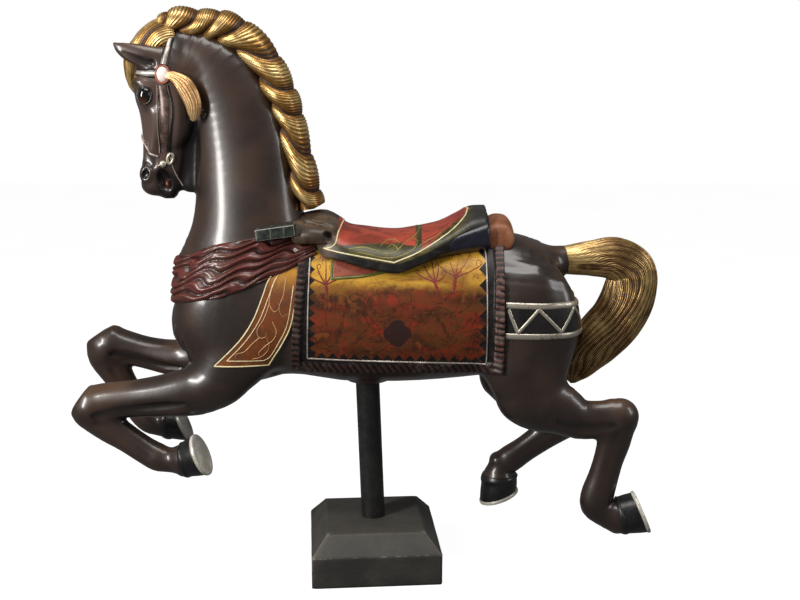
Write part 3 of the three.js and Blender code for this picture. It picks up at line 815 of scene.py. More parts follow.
def plain_paint(name, dark, light, rough, metal=0.0, scale=25, coat=0.0):
    paint = Paint(name)
    cloud = paint.noise(scale, 4, 0.4)
    fleck = paint.noise(scale * 7, 3)
    colour = paint.mix((cloud * 0.7 + fleck * 0.3).ease(0.35, 0.65), dark, light)
    rough = rough + 0.15 * (fleck - 0.5)
    return paint.done(colour, rough, metal, bump=cloud + fleck * 0.3, depth=0.0005, coat=coat)


def silver_leaf():
    paint = Paint("silver_leaf")
    cloud = paint.noise(30, 5, 0.8)
    fleck = paint.noise(130, 3)
    worn = (cloud * 0.6 + fleck * 0.4).ease(0.52, 0.62)
    colour = paint.mix(worn * 0.75, (196, 188, 172), (84, 66, 52))
    return paint.done(colour, 0.36 + 0.2 * worn, 0.75 - 0.5 * worn, bump=fleck, depth=0.0004)


# The level in metres where the blanket's gold meets its rust, and the dark flower's middle, the reach
# of its four lobes and their radius in millimetres.
FIELD_SPLIT = 0.717
QUATREFOIL = (59, 614, 12, 20)
# Pitch and depth in metres of the black teeth along the blanket's front, back and hem.
TEETH = {"front": (0.024, 0.015), "back": (0.034, 0.0175), "hem": (0.025, 0.0145)}


def blanket_paint():
    """Gold above rust inside a black toothed border, with braid outside it."""
    paint = Paint("blanket_paint")
    x, z = paint.x, paint.z
    smear = paint.noise(14, 5, 0.8, (0.6, 1, 1.6))
    fine = paint.noise(60, 4, 0.5)
    blots = paint.noise(9, 5, 1.6, (0.8, 1, 1.3))
    front = x - OUTLINE_FRONT * MM - 0.002
    back = OUTLINE_BACK * MM - 0.002 - x
    hem = z - OUTLINE_HEM * MM - 0.003 + (x + 0.145) * 0.029
    teeth = []
    for edge, gap, along in (("front", front, z), ("back", back, z + 0.009), ("hem", hem, x)):
        pitch, depth = TEETH[edge]
        teeth.append(gap - along.wave(pitch) * depth)
    field = teeth[0].least(teeth[1]).least(teeth[2]).ease(-0.0004, 0.0004)
    gold = paint.mix(smear.ease(0.4, 0.62), (198, 152, 54), (150, 104, 34))
    gold = paint.mix((fine * smear * 4).ease(0.9, 1.5) * 0.6, gold, (112, 76, 28))
    rust = paint.mix(smear.ease(0.35, 0.65), (98, 54, 24), (66, 36, 18))
    rust = paint.mix(blots.ease(0.46, 0.66) * 0.5, rust, (128, 44, 24))
    rust = paint.mix((fine + smear - 1).ease(0.12, 0.3) * 0.4, rust, (150, 88, 36))
    swirl = paint.noise(11, 4, 2.2)
    curl = paint.noise(15, 3, 1.8, (1, 1, 0.8))
    rust = paint.mix(abs(swirl - 0.52).ease(0.022, 0.006) * 0.6, rust, (44, 22, 15))
    rust = paint.mix(abs(curl - 0.47).ease(0.020, 0.007) * blots.ease(0.4, 0.55) * 0.6, rust, (146, 42, 24))
    gold = paint.mix(abs(curl - 0.5).ease(0.016, 0.006) * swirl.ease(0.46, 0.56) * 0.7, gold, (140, 52, 24))
    lower = (z + (smear - 0.5) * 0.05 + (fine - 0.5) * 0.02).ease(FIELD_SPLIT + 0.012, FIELD_SPLIT - 0.014)
    colour = paint.mix(lower, gold, rust)
    cx, cz, reach, radius = [part * MM for part in QUATREFOIL]
    lobes = None
    for dx, dz in ((reach, 0), (-reach, 0), (0, reach), (0, -reach)):
        far = ((x - (cx + dx)) ** 2 + (z - (cz + dz)) ** 2) ** 0.5
        lobes = far if lobes is None else lobes.least(far)
    flower = (lobes + (fine - 0.5) * 0.006).ease(radius + 0.001, radius - 0.002)
    colour = paint.mix(flower * 0.88, colour, (38, 27, 28))
    black = paint.mix(fine.ease(0.4, 0.7), (18, 15, 15), (38, 32, 31))
    colour = paint.mix(field, black, colour)
    ahead = (BRAID_FRONT - BRAID_SLANT * SLANT_FROM) * MM + BRAID_SLANT * z - x
    braid = (x - BRAID_BACK * MM).most(ahead).most(BRAID_HEM * MM - z).ease(-0.0005, 0.0005)
    rise = paint.rise()
    # Painted shade and highlight on the braid: dark between its ribs and lighter on them.
    ribs = paint.mix((rise + (fine - 0.5) * 0.8).ease(0.5, 1.0), (24, 18, 17), (92, 60, 52))
    # Painted highlights: grey patches on the braid, placed by noise.
    ribs = paint.mix((fine + smear - 1).ease(0.05, 0.2) * 0.6, ribs, (112, 98, 92))
    ribs = paint.mix((z - 0.544).ease(0.004, -0.004).most(x.ease(-0.10, -0.14)) * 0.55, ribs, (26, 20, 18))
    colour = paint.mix(braid, colour, ribs)
    return paint.done(colour, 0.36 + 0.2 * fine, bump=fine + smear * 0.5, depth=0.0005, coat=0.06,
                      specular=0.3)


def shoulder_paint():
    paint = Paint("shoulder_panel_paint")
    cloud = paint.noise(18, 5, 0.9)
    fine = paint.noise(80, 4)
    colour = paint.mix((paint.z + (cloud - 0.5) * 0.08).ease(0.70, 0.76), (114, 62, 30), (184, 132, 46))
    colour = paint.mix(cloud.ease(0.5, 0.66) * 0.6, colour, (84, 54, 42))
    colour = paint.mix(fine.ease(0.55, 0.7) * 0.4, colour, (148, 88, 46))
    return paint.done(colour, 0.32 + 0.2 * fine, bump=cloud + fine * 0.4, depth=0.0006, coat=0.1,
                      specular=0.35)


def saddle_paint():
    """A red seat in an olive border, with a dark edge below and a brown pommel."""
    paint = Paint("saddle_paint")
    x, z = paint.x, paint.z
    cloud = paint.noise(16, 5, 0.8)
    fine = paint.noise(70, 4, 0.4, (0.5, 1, 1))
    wobble = (cloud - 0.5) * 0.016
    green = paint.mix(cloud.ease(0.4, 0.66), (52, 49, 27), (84, 77, 40))
    green = paint.mix(fine.ease(0.6, 0.7) * 0.5, green, (122, 112, 52))
    red = paint.mix(cloud.ease(0.38, 0.6), (168, 70, 50), (130, 52, 38))
    red = paint.mix(fine.ease(0.56, 0.66) * 0.6, red, (66, 34, 26))
    front = (z - 0.811 - wobble).least(0.103 - x + wobble).least(x + 0.079)
    rear = (z - 0.800 - (x - 0.114) * 0.72 + wobble).least(x - 0.114)
    colour = paint.mix(front.most(rear).ease(-0.001, 0.002), green, red)
    navy = (x - 0.02 - z * 0.16).ease(0.02, 0.08) * front.most(rear).ease(0.0, -0.002)
    colour = paint.mix(navy * 0.75, colour, (34, 34, 42))
    dark = paint.mix(fine.ease(0.4, 0.7), (22, 21, 20), (40, 39, 34))
    skirt = paint.rise()
    colour = paint.mix(skirt.ease(0.5, 0.52), colour, dark)
    brown = paint.mix(cloud.ease(0.35, 0.7), (56, 45, 37), (92, 75, 60))
    brown = paint.mix(fine.ease(0.5, 0.7) * 0.4, brown, (40, 32, 26))
    colour = paint.mix(x.ease(-0.074, -0.077), colour, brown)
    return paint.done(colour, 0.32 + 0.18 * fine, bump=cloud + fine * 0.3, depth=0.0007, coat=0.12,
                      specular=0.35)


def plate_paint():
    """Green-black paint over silver that shows along the edges and in a few ruled lines."""
    paint = Paint("plate_dark_green")
    fine = paint.noise(90, 3)
    colour = paint.mix(fine.ease(0.35, 0.65), (22, 26, 23), (48, 54, 48))
    edge = (paint.rise() + (fine - 0.5) * 0.5).ease(0.55, 0.8)
    colour = paint.mix(edge * 0.85, colour, (156, 156, 148))
    ruled = (paint.x + 0.013).wave(0.030).ease(0.07, 0.03) * fine.ease(0.35, 0.5)
    colour = paint.mix(ruled * 0.7, colour, (120, 122, 112))
    return paint.done(colour, 0.34 + 0.1 * fine, 0.3 * edge, bump=fine, depth=0.0004)


def eye_glass():
    paint = Paint("eye_black_gloss")
    glow = paint.noise(60, 2)
    colour = paint.mix((paint.z - 1.139).ease(0.0, -0.016) * glow.ease(0.3, 0.7), (10, 8, 8), (92, 52, 22))
    return paint.done(colour, 0.08 + 0.05 * glow, coat=0.6, coat_rough=0.04)


def block_paint():
    paint = Paint("block_charcoal_paint")
    rise = paint.rise()
    cloud = paint.noise(12, 5, 0.5)
    fine = paint.noise(90, 4)
    brushed = paint.noise(40, 3, 0.2, (0.15, 0.15, 1.0))
    colour = paint.mix(cloud.ease(0.35, 0.65), (44, 43, 40), (60, 58, 54))
    colour = paint.mix(brushed.ease(0.5, 0.7) * 0.4, colour, (36, 35, 33))
    colour = paint.mix(paint.upward().ease(0.3, 0.9) * 0.35, colour, (92, 88, 80))
    worn = (rise + (fine - 0.5) * 0.8 + (cloud - 0.5) * 0.6).ease(0.75, 1.0)
    colour = paint.mix(worn * 0.6, colour, (128, 120, 106))
    return paint.done(colour, 0.46 + 0.25 * fine, bump=fine * 0.5 + cloud + brushed * 0.4, depth=0.0012)


# ---------------------------------------------------------------- the carved horse

# The carved pieces are parted at these levels, in metres. Their paint is darkened in the hollows as painted
# shade, by how open the wood is this far out, in millimetres.
NECK_JOIN, LEG_JOIN = 0.905, 0.47
OPEN_REACH = 12


def worked(clay, way, shape, blend):
    """A shape added to the clay or cut from it."""
    (clay.cut if way == "cut" else clay.add)(shape, blend)


def lump_pair(clay, centre, radii, blend, tilt=0.0, way="add"):
    x, y, z = centre
    for side in (NEAR, FAR):
        worked(clay, way, Lump((x, side * y, z), radii, tilt), blend)


def chain_pair(clay, stations, blend, way="add"):
    for side in (NEAR, FAR):
        worked(clay, way, Chain([[x, side * y, *rest] for x, y, *rest in stations]), blend)


def build_legs(clay):
    for stations, blend in (
        (NEAR_FORE_UPPER, 35), (NEAR_FOREARM, 35), (NEAR_CANNON, 16),
        (FAR_FORE_UPPER, 35), (FAR_FOREARM, 35), (FAR_CANNON, 16),
        (THIGH, 40), (mirrored(THIGH), 40),
        (NEAR_GASKIN, 30), (NEAR_HIND_CANNON, 16), (FAR_GASKIN, 30), (FAR_HIND_CANNON, 16),
    ):
        clay.add(Chain(stations), blend)
    # The knees with their bones and flat fronts, the hocks and the far hind fetlock.
    clay.add(Lump((-655, -101, 425), (37, 42, 38), 20), 14)
    clay.add(Lump((-656, 101, 522), (35, 41, 37), -20), 14)
    for x, y, z in ((-656, -100, 456), (-676, -100, 420), (-640, 100, 556), (-676, 100, 512)):
        clay.add(Lump((x, y, z), (13, 27, 13)), 12)
    clay.cut(Lump((-802, -100, 524), (150, 90, 150)), 8)
    clay.cut(Lump((-756, 100, 680), (150, 90, 150)), 8)
    clay.add(Lump((577, -102, 402), (33, 34, 34)), 14)
    clay.add(Lump((309, 100, 229), (17, 25, 14)), 10)
    clay.add(Lump((478, 102, 326), (34, 33, 32)), 14)
    # The hollows beside the tendons and the bones, inside and outside each leg.
    for side, line in (
        (NEAR, [[-632, 396], [-590, 366], [-545, 333], [-520, 315]]),
        (FAR, [[-644, 470], [-620, 425], [-596, 380], [-580, 352]]),
        (NEAR, [[567, 372], [552, 320], [543, 270], [537, 235]]),
        (FAR, [[450, 312], [412, 285], [375, 257], [352, 238]]),
        (NEAR, [[-636, 416], [-590, 424], [-541, 432], [-480, 440], [-430, 446]]),
        (FAR, [[-640, 512], [-590, 500], [-530, 484], [-470, 478]]),
        (NEAR, [[430, 402], [470, 388], [515, 386], [556, 392]]),
    ):
        for face in (-1, 1):
            y = side * 101 + face * 38
            radii = [3] + [7] * (len(line) - 2) + [3]
            clay.cut(Chain([[x, y, z, r, r] for (x, z), r in zip(line, radii)]), 14)
    # A crease along the outside of the near forearm.
    clay.cut(Chain([[-495, -146, 430, 3, 4], [-440, -148, 434, 6, 7], [-372, -148, 436, 3, 4]]), 14)


def barrel():
    return Chain(BARREL, power=2.25, steps=2)


def build_trunk(clay):
    clay.add(barrel())
    lump_pair(clay, (-352, 86, 650), (84, 50, 110), 40, 18)
    lump_pair(clay, (-425, 46, 620), (42, 44, 72), 30)
    lump_pair(clay, (-255, 92, 610), (60, 44, 70), 40)
    lump_pair(clay, (388, 92, 640), (74, 48, 104), 40, -8)
    lump_pair(clay, (330, 96, 520), (44, 46, 60), 30)
    rump_muscle = [[410, 96, 740, 16, 14], [424, 111, 705, 22, 18], [429, 118, 655, 24, 18],
                   [424, 118, 590, 20, 18]]
    chain_pair(clay, rump_muscle, 16)
    chain_pair(clay, [[374, 112, 744, 16, 14], [384, 125, 705, 22, 18], [392, 131, 655, 20, 18]], 16)
    dock = [[395, 0, 748, 46, 60], [425, 0, 751, 39, 42], [448, 0, 755, 35, 33], [458, 0, 756, 33, 31]]
    clay.add(Chain(dock), 26)
    chain_pair(clay, [[300, 160, 560, 12, 10], [318, 158, 500, 12, 10], [330, 150, 452, 10, 8]], 20, "cut")
    clay.cut(Lump((-470, 0, 600), (40, 7, 90)), 14)
    clay.add(Lump((318, 0, 768), (70, 84, 44), 4), 40)
    lump_pair(clay, (-224, 124, 494), (30, 56, 20), 16, way="cut")
    boss = [[-13, 0, 520, 51, 51], [-12, 0, 490, 51, 51], [-11, 0, 466, 49, 49], [-11, 0, 461, 2, 2]]
    clay.add(Chain(boss), 8)


def build_head(clay):
    clay.add(Chain(SKULL, power=2.2), 26)
    clay.add(Chain(LOWER_JAW), 14)
    clay.add(Chain(THROAT), 14)
    chain_pair(clay, EAR, 14)
    chain_pair(clay, [[-486, 62, 1208, 8, 8], [-518, 66, 1216, 9, 9], [-546, 64, 1230, 5, 5]], 5, "cut")
    lump_pair(clay, (-447, 40, 1092), (41, 30, 66), 20)
    lump_pair(clay, (-506, 46, 1164), (28, 22, 14), 14, 18)
    lump_pair(clay, (-502, 50, 1136), (24, 20, 27), 12, 20)
    chain_pair(clay, [[-486, 50, 1100, 10, 10], [-489, 44, 1060, 9, 9], [-497, 38, 1015, 8, 8]], 16)
    lump_pair(clay, (-514, 27, 962), (17, 16, 22), 10, 15)
    lump_pair(clay, (-516, 42, 960), (8, 10, 12), 4, 25, way="cut")
    clay.add(Lump((-507, 0, 930), (24, 32, 18)), 10)
    chain_pair(clay, [[-520, 30, 1020, 7, 8], [-512, 34, 1000, 8, 8], [-505, 38, 985, 7, 7]], 14, "cut")
    # The open mouth, hollowed from both sides.
    lump_pair(clay, (-473, 44, 942), (17, 28, 31), 5, -14, way="cut")


def carved_horse(lacquer):
    """The bare horse: its trunk and legs from one grid, and its head and neck from a finer one. The
    blanket is laid on a copy of the first that has no neck."""
    body = Clay((-722, -182, 108), (668, 182, 960), 4.6)
    build_trunk(body)
    build_legs(body)
    back = copy.copy(body)
    back.field = body.field.copy()
    body.add(Chain(NECK), 30)
    head = Clay((-610, -134, 872), (-120, 134, 1310), 3)
    head.add(Chain(NECK), 30)
    head.add(barrel(), 30)
    build_head(head)
    cuts = {
        "carved_trunk": (body, lambda x, y, z: (z < NECK_JOIN) & (z >= LEG_JOIN)),
        "carved_legs": (body, lambda x, y, z: z < LEG_JOIN),
        "carved_head_and_neck": (head, lambda x, y, z: z >= NECK_JOIN - 0.003),
    }
    for name, (clay, keep) in cuts.items():
        points, faces = clay.surface(keep)
        out = clay.outward(points)
        # How open the wood is round each point, which the lacquer turns into painted shade in the hollows.
        openness = np.clip(clay.sampled(points + out * OPEN_REACH * MM) / (OPEN_REACH * MM), 0, 1)
        piece(name, points, [faces], lacquer, normals=out, rise=openness)
    return body, back, head


def hooves(horn, iron):
    """Flared hoof walls whose soles are turned a little from their coronets, each with a bright shoe."""
    for name, (top, top_way, top_radius, sole, sole_way, sole_radius) in HOOVES.items():
        top, sole, top_way, sole_way = [np.array(row, float) for row in (top, sole, top_way, sole_way)]
        # Share of the way from coronet to sole, and how much the wall swells there.
        wall = []
        for share, swell in ((-0.12, -2.5), (0.0, 0.5), (0.1, 1.0), (0.2, -0.5), (0.6, 0.3), (1.0, 0.0)):
            radius = top_radius + (sole_radius - top_radius) * share + swell
            wall.append([*(top + (sole - top) * share), radius, radius * 0.97])
        turn = np.linspace(0, 1, 4 * (len(wall) - 1) + 1)[:, None]
        formed(f"{name}_hoof_wall", wall, 48, 4, horn, facing=top_way + turn * (sole_way - top_way),
               ends=(0.05, 0.0))
        # How far below the sole, and how far outside its edge. The shoe's middle is hollow.
        shoe = []
        for along, swell in ((-1, 0), (1, 2), (4, 2.5), (7, 2), (8, -1), (8, -8), (6, -10), (6, -30)):
            radius = sole_radius + swell
            shoe.append([*(sole + sole_way * along), radius, radius * 0.97])
        formed(f"{name}_shoe", shoe, 64, 3, iron, facing=sole_way, ends=(0.0, 0.0))


# ---------------------------------------------------------------- hair

MANE_LOCKS, STRANDS_IN_A_LOCK = 10, 10


def mane_height(share, angle):
    """Broad locks that start at the inner edge and sweep back and down, each cut with fine strands."""
    across = (1 - np.sin(angle)) / 2
    sweep = 0.95 * across + 0.28 * np.sin(math.pi * across)
    phase = share * MANE_LOCKS + 0.20 * np.sin(share * 19) + 0.6 - sweep
    place = phase - np.floor(phase)
    lock = (np.sin(math.pi * place ** 0.72)) ** 0.62
    curl = 0.35 * np.sin(math.pi * across) * np.sin(2 * math.pi * place)
    strand = np.abs(np.sin(math.pi * STRANDS_IN_A_LOCK * (phase + 0.10 * curl)))
    swell = 1 + 0.22 * np.sin(np.floor(phase) * 2.4)
    crest = across ** 3
    height = 13 * lock * swell * (1 - 0.5 * crest) + 4.5 * crest + 2.3 * strand * (0.35 + 0.65 * lock) - 6.0
    return height, 0.6 * lock ** 1.6 + 0.4 * strand


def tail_height(share, angle):
    """Fine wavy strands that run the length of the tail in a few loose bundles."""
    wave = np.sin(share * 11 + 1.4 * np.sin(2 * angle)) + 0.3 * np.sin(share * 31 + 3 * angle)
    bundle = np.abs(np.sin(3 * angle + 0.5 * wave)) ** 0.7
    lock = np.abs(np.sin(13 * angle + 1.3 * wave + 0.9 * np.sin(share * 15 + 3 * angle))) ** 0.8
    strand = np.abs(np.sin(44 * angle + 4.5 * wave + 1.9 * np.sin(share * 27 + 5 * angle)))
    loose = np.clip(share * 6 - 0.5, 0.15, 1)
    height = loose * (2.2 * bundle + 1.9 * lock + 1.9 * strand - 3.0)
    return height, np.clip(0.1 * bundle + 0.3 * lock + 0.6 * strand + 0.5 * (1 - loose), 0, 1)


def forelock_height(share, angle):
    """Three strands of hair combed forward over the poll, with fine lines cut along them."""
    phase = 2.5 * angle / math.pi - share * 0.9 + 0.15 * np.sin(share * 9)
    lock = np.abs(np.sin(math.pi * phase)) ** 0.6
    strand = np.abs(np.sin(math.pi * phase * 9))
    return 7 * lock + 2.2 * strand - 4.5, 0.6 * lock ** 1.6 + 0.4 * strand


def tassel_height(share, angle):
    """Fine threads that twist a little down the tassel."""
    strand = np.abs(np.sin(9 * angle + 0.7 * np.sin(share * 7) + share * 0.8))
    return 2.2 * strand - 1, strand


def hair(gold, dark_gold, tassel_gold):
    formed("mane", MANE, 104, 55, gold, mane_height, ends=(0.3, 0.3))
    formed("forelock", FORELOCK, 210, 14, gold, forelock_height, ends=(0.3, 0.5))
    formed("tail", TAIL, 396, 17, dark_gold, tail_height, ends=(0.1, 0.6))
    for word, stations in (("near", TASSEL), ("far", mirrored(TASSEL))):
        formed(f"tassel_{word}", stations, 64, 12, tassel_gold, tassel_height, ends=(0.3, 0.5))


# ---------------------------------------------------------------- blanket, drape and panels

CLOTH_HEIGHT = 5.5
SIDE_RIB_PITCH, HEM_RIB_PITCH = 13.5, 12
SIDE_SPACING, TOP_SPACING = 2.7, 7.0


def braid_front(z):
    """Where the front braid ends, at a level on the side."""
    return BRAID_FRONT + BRAID_SLANT * (np.clip(z, SLANT_FROM, SLANT_TO) - SLANT_FROM)


def blanket_height(x, b):
    """The cloth with a ribbed braid along its front, back and hem."""
    level = np.where(b > BACK_LEVEL + BACK_ARC, BACK_WHOLE - b, b)
    front = braid_front(level)
    swell = 0.5 * np.sin(x / 40) * np.sin(b / 33)
    side = np.clip(np.maximum(front - x, x - BRAID_BACK) / 4, 0, 1)
    side_rib = np.abs(np.sin(math.pi * (b + 0.12 * x) / SIDE_RIB_PITCH)) ** 0.55
    hem = np.clip((BRAID_HEM - level) / 4, 0, 1) * (1 - side)
    hem_rib = np.abs(np.sin(math.pi * (x * 0.8 + level * 0.55) / HEM_RIB_PITCH)) ** 0.6
    ribs = side * (1.5 + 5.5 * side_rib) + hem * (1 + 4.5 * hem_rib)
    share = np.clip(side * side_rib + hem * hem_rib, 0, 1)
    return CLOTH_HEIGHT + swell + ribs, share


def blanket(wood, paint):
    """The cloth from hem to hem over the back. Its front edge slants as its front braid does."""
    x = np.arange(BLANKET_FRONT, BLANKET_BACK + 0.1, SIDE_SPACING)
    half = np.arange(BLANKET_HEM, BACK_LEVEL, SIDE_SPACING)
    top = np.arange(BACK_LEVEL, BACK_LEVEL + BACK_ARC, TOP_SPACING)
    b = np.concatenate([half, top, BACK_WHOLE - half[::-1]])
    grid_b, grid_x = np.meshgrid(b, x, indexing="ij")
    level = np.minimum(grid_b, BACK_WHOLE - grid_b)
    back_share = (grid_x - BLANKET_FRONT) / (BLANKET_BACK - BLANKET_FRONT)
    grid_x = grid_x + (1 - back_share) * 1.3 * (braid_front(level) - BRAID_FRONT)
    height, share = blanket_height(grid_x, grid_b)
    relief("blanket", wood, over_the_back, grid_x, grid_b, height, paint, rise=share)


DRAPE_HALF, DRAPE_FOLDS = 409, 6


def drape_edges(a):
    """Top and bottom of the breast drape at a place round the chest."""
    away = np.abs(a)
    top = np.interp(away, [0, 90, 160, 216, 275, 340, DRAPE_HALF], [766, 778, 802, 812, 822, 824, 812])
    bottom = np.interp(away, [0, 90, 160, 200, 250, 315, 378, DRAPE_HALF],
                       [660, 672, 686, 694, 712, 738, 764, 782])
    return top, bottom


def drape(wood, paint):
    """A breast cloth in long wavy folds that part and meet."""
    a = np.arange(-DRAPE_HALF, DRAPE_HALF + 0.1, 3)
    v = np.linspace(0, 1, 66)
    grid_v, grid_a = np.meshgrid(v, a, indexing="ij")
    top, bottom = drape_edges(grid_a)
    away = np.abs(grid_a)
    turn = grid_v * DRAPE_FOLDS + 0.30 * np.sin(2 * math.pi * away / 92 + grid_v * 7)
    turn = turn + 0.16 * np.sin(away / 23 + grid_v * 13)
    fold = np.abs(np.sin(math.pi * turn)) ** 0.75
    second = np.abs(np.sin(math.pi * (turn * 2 + 0.4 * np.sin(away / 31)))) ** 0.8
    edge = np.clip(np.minimum(grid_v, 1 - grid_v) * 9, 0, 1) ** 0.5
    fuller = 0.62 + 0.38 * np.clip(away / 110, 0, 1)
    height = 3 + (9.5 * fold + 2.5 * second) * (0.35 + 0.65 * edge) * fuller
    level = top + grid_v * (bottom - top)
    rise = 0.75 * fold + 0.25 * second
    relief("breast_drape", wood, round_the_chest, grid_a, level, height, paint, rise)


SHOULDER_LEFT = [[-192, 773], [-227, 735], [-243, 696], [-265, 643], [-298, 594], [-354, 537]]
SHOULDER_RIGHT = [[-156, 775], [-164, 720], [-179, 636], [-203, 587], [-222, 558], [-236, 537]]
SHOULDER_SCROLLS = [
    [[-206, 745, 3], [-222, 712, 4], [-228, 680, 4], [-217, 662, 3], [-206, 672, 2], [-209, 684, 1.5]],
    [[-228, 680, 4], [-240, 648, 4], [-256, 622, 3], [-252, 604, 3], [-238, 606, 2], [-236, 618, 1.5]],
    [[-190, 738, 3], [-196, 700, 3], [-206, 672, 3], [-200, 652, 2], [-190, 656, 1.5]],
    [[-252, 604, 4], [-268, 590, 4], [-286, 572, 3], [-304, 566, 2], [-306, 556, 1.5]],
    [[-222, 640, 3], [-214, 616, 3], [-222, 598, 3], [-240, 584, 3], [-256, 566, 2], [-246, 558, 1.5]],
    [[-236, 606, 2], [-232, 580, 2.5], [-248, 560, 2.5], [-270, 554, 1.5]],
]


PANEL_HEIGHT = 4.0


def shoulder_panels(wood, paint, line, scroll):
    """A painted panel ahead of the blanket, framed by two pale lines, with scrolls inside."""
    left, right = curve(SHOULDER_LEFT, 5), curve(SHOULDER_RIGHT, 5)
    rows = 60
    left = np.array([left[int(i)] for i in np.linspace(0, len(left) - 1, rows)])
    right = np.array([right[int(i)] for i in np.linspace(0, len(right) - 1, rows)])
    share = np.linspace(0, 1, 36)[:, None]
    a = left[:, 0] + share * (right[:, 0] - left[:, 0])
    b = left[:, 1] + share * (right[:, 1] - left[:, 1])
    for side, word in SIDES:
        height = np.full(a.shape, PANEL_HEIGHT)
        relief(f"shoulder_panel_{word}", wood, from_the_side(side), a, b, height, paint)
    inner_left = [[x + 14 + max(0, (594 - z) * 0.25), max(z, 550)] for x, z in SHOULDER_LEFT]
    inner_right = [[x - 9, max(z, 549)] for x, z in SHOULDER_RIGHT[1:]]
    for name, left, right, width, height in (
        ("shoulder_outline", SHOULDER_LEFT, SHOULDER_RIGHT, 3.6, 2),
        ("shoulder_inner_line", inner_left, inner_right, 2.2, 1),
    ):
        frame_of_lines = [left, right, [left[-1], right[-1]]]
        both_sides(name, wood, frame_of_lines, line, width=width, height=height, lift=PANEL_HEIGHT)
    thin = [[[x, z, width * 0.6] for x, z, width in path] for path in SHOULDER_SCROLLS]
    both_sides("shoulder_scrolls", wood, thin, scroll, height=1.2, lift=PANEL_HEIGHT)


BAND_HALF = 222


def rump_band(wood, black, silver):
    """A dark band round the rump under the tail, with two silver bars and a zigzag between them."""
    a = np.arange(-BAND_HALF, BAND_HALF + 0.1, 4)
    b = np.linspace(606, 680, 22)
    grid_b, grid_a = np.meshgrid(b, a, indexing="ij")
    relief("rump_band_ground", wood, round_the_rump, grid_a, grid_b, np.full(grid_a.shape, 2.0), black)
    bars = []
    for end, middle in ((679, 676), (609, 608)):
        bars.append([[-BAND_HALF, end, 15], [0, middle, 15], [BAND_HALF, end, 15]])
    strokes("rump_band_bars", wood, round_the_rump, bars, silver, height=2.6, lift=1.5, smooth=False)
    left = [-218, -196, -150, -118, -98, -60, -28]
    marks = left + [0] + [-mark for mark in left[::-1]]
    teeth = [[a, 617 if i % 2 else 671, 9] for i, a in enumerate(marks)]
    strokes("rump_band_zigzag", wood, round_the_rump, [teeth], silver, height=2.2, lift=1.5, smooth=False)


def tree(root, lean, size):
    """A red scroll tree: a trunk that forks into curling twigs."""
    x, z = root
    fork_x, fork_z = x + size * lean * 0.25, z + size * 0.35
    twigs = ((-1.0, 0.75, 1), (-0.45, 1.0, 1), (0.1, 1.15, -1), (0.55, 0.95, -1), (1.05, 0.7, -1))
    paths = []
    for bend, reach, curl in twigs:
        tip_x, tip_z = x + size * (lean + bend) * 0.62, z + size * reach
        elbow = [(fork_x + tip_x) / 2 + 3 * bend, (fork_z + tip_z) / 2, 3.5]
        twig = [[x, z, 6], [fork_x, fork_z, 5], elbow, [tip_x, tip_z, 2.5]]
        for turn in range(1, 6):
            angle = turn * 0.9 * curl
            radius = size * 0.13 * (1 - turn / 9)
            twig.append([tip_x + radius * (1 - math.cos(angle)) * curl * 0.9,
                         tip_z + radius * math.sin(angle) * curl, 2.2 - turn * 0.2])
        paths.append(twig)
    return paths


def blanket_lines(wood, silver, red, green, pink):
    """What is laid on the blanket: its outline, scroll trees and the flap under the saddle."""
    outline = [[[-137, 785], [-145, 553]], [[-145, 553], [264, 541]], [[264, 541], [259, 790], [257, 815]]]
    both_sides("blanket_outline", wood, outline, silver, width=3.4, height=1.6, lift=7.0, smooth=False)
    trees = []
    for root, lean, size in (((150, 706), -0.5, 52), ((184, 706), 0.25, 80), ((-98, 700), -0.2, 58)):
        trees += tree(root, lean, size)
    both_sides("scroll_trees", wood, trees, red, height=0.7, lift=5.3, spacing=2.5)
    triangle = [[[-87, 790, 7], [-88, 734, 8], [-20, 738, 8], [40, 748, 8]]]
    both_sides("flap_border", wood, triangle, green, height=2.4, lift=5.5, smooth=False)
    share = np.linspace(0, 1, 30)[:, None]
    top = np.array([[x, 790 - max(0, (x + 60)) * 0.34] for x in np.linspace(-85, 44, 50)])
    low = np.array([[x, 736 + (x + 88) * 0.09] for x in np.linspace(-85, 44, 50)])
    a = low[:, 0] + share * (top[:, 0] - low[:, 0])
    b = low[:, 1] + share * (top[:, 1] - low[:, 1])
    for side, word in SIDES:
        relief(f"saddle_flap_{word}", wood, from_the_side(side), a, b, np.full(a.shape, 6.8), pink)


# ---------------------------------------------------------------- saddle

class SaddleForm:
    """The seat between stations of x: a high section over a flat skirt with a thick edge."""

    def __init__(self, stations, thickness, power=2.3):
        self.table = np.array(stations, float) * MM
        self.thickness = thickness * MM
        self.power = power
        wide = self.table[:, 3].max()
        self.low = np.array([self.table[0, 0], -wide, self.table[:, 1].min() - self.thickness])
        self.high = np.array([self.table[-1, 0], wide, (self.table[:, 1] + self.table[:, 2]).max()])

    def distance(self, x, y, z):
        at = x[:, 0, 0]
        soft = curve(self.table, 0.004)
        skirt, rise, width = [np.interp(at, soft[:, 0], soft[:, k])[:, None, None] for k in (1, 2, 3)]
        above = np.maximum(z - skirt, 0) / rise
        level = (above ** self.power + (np.abs(y) / width) ** self.power) ** (1 / self.power)
        shell = (level - 1) * np.minimum(rise, width) * 0.9
        under = skirt - self.thickness - z
        ends = np.maximum(self.table[0, 0] - x, x - self.table[-1, 0])
        return np.maximum(np.maximum(shell, under), ends)


ROLL_HALF, ROLL_X, ROLL_LEVEL = 80, 292, 830


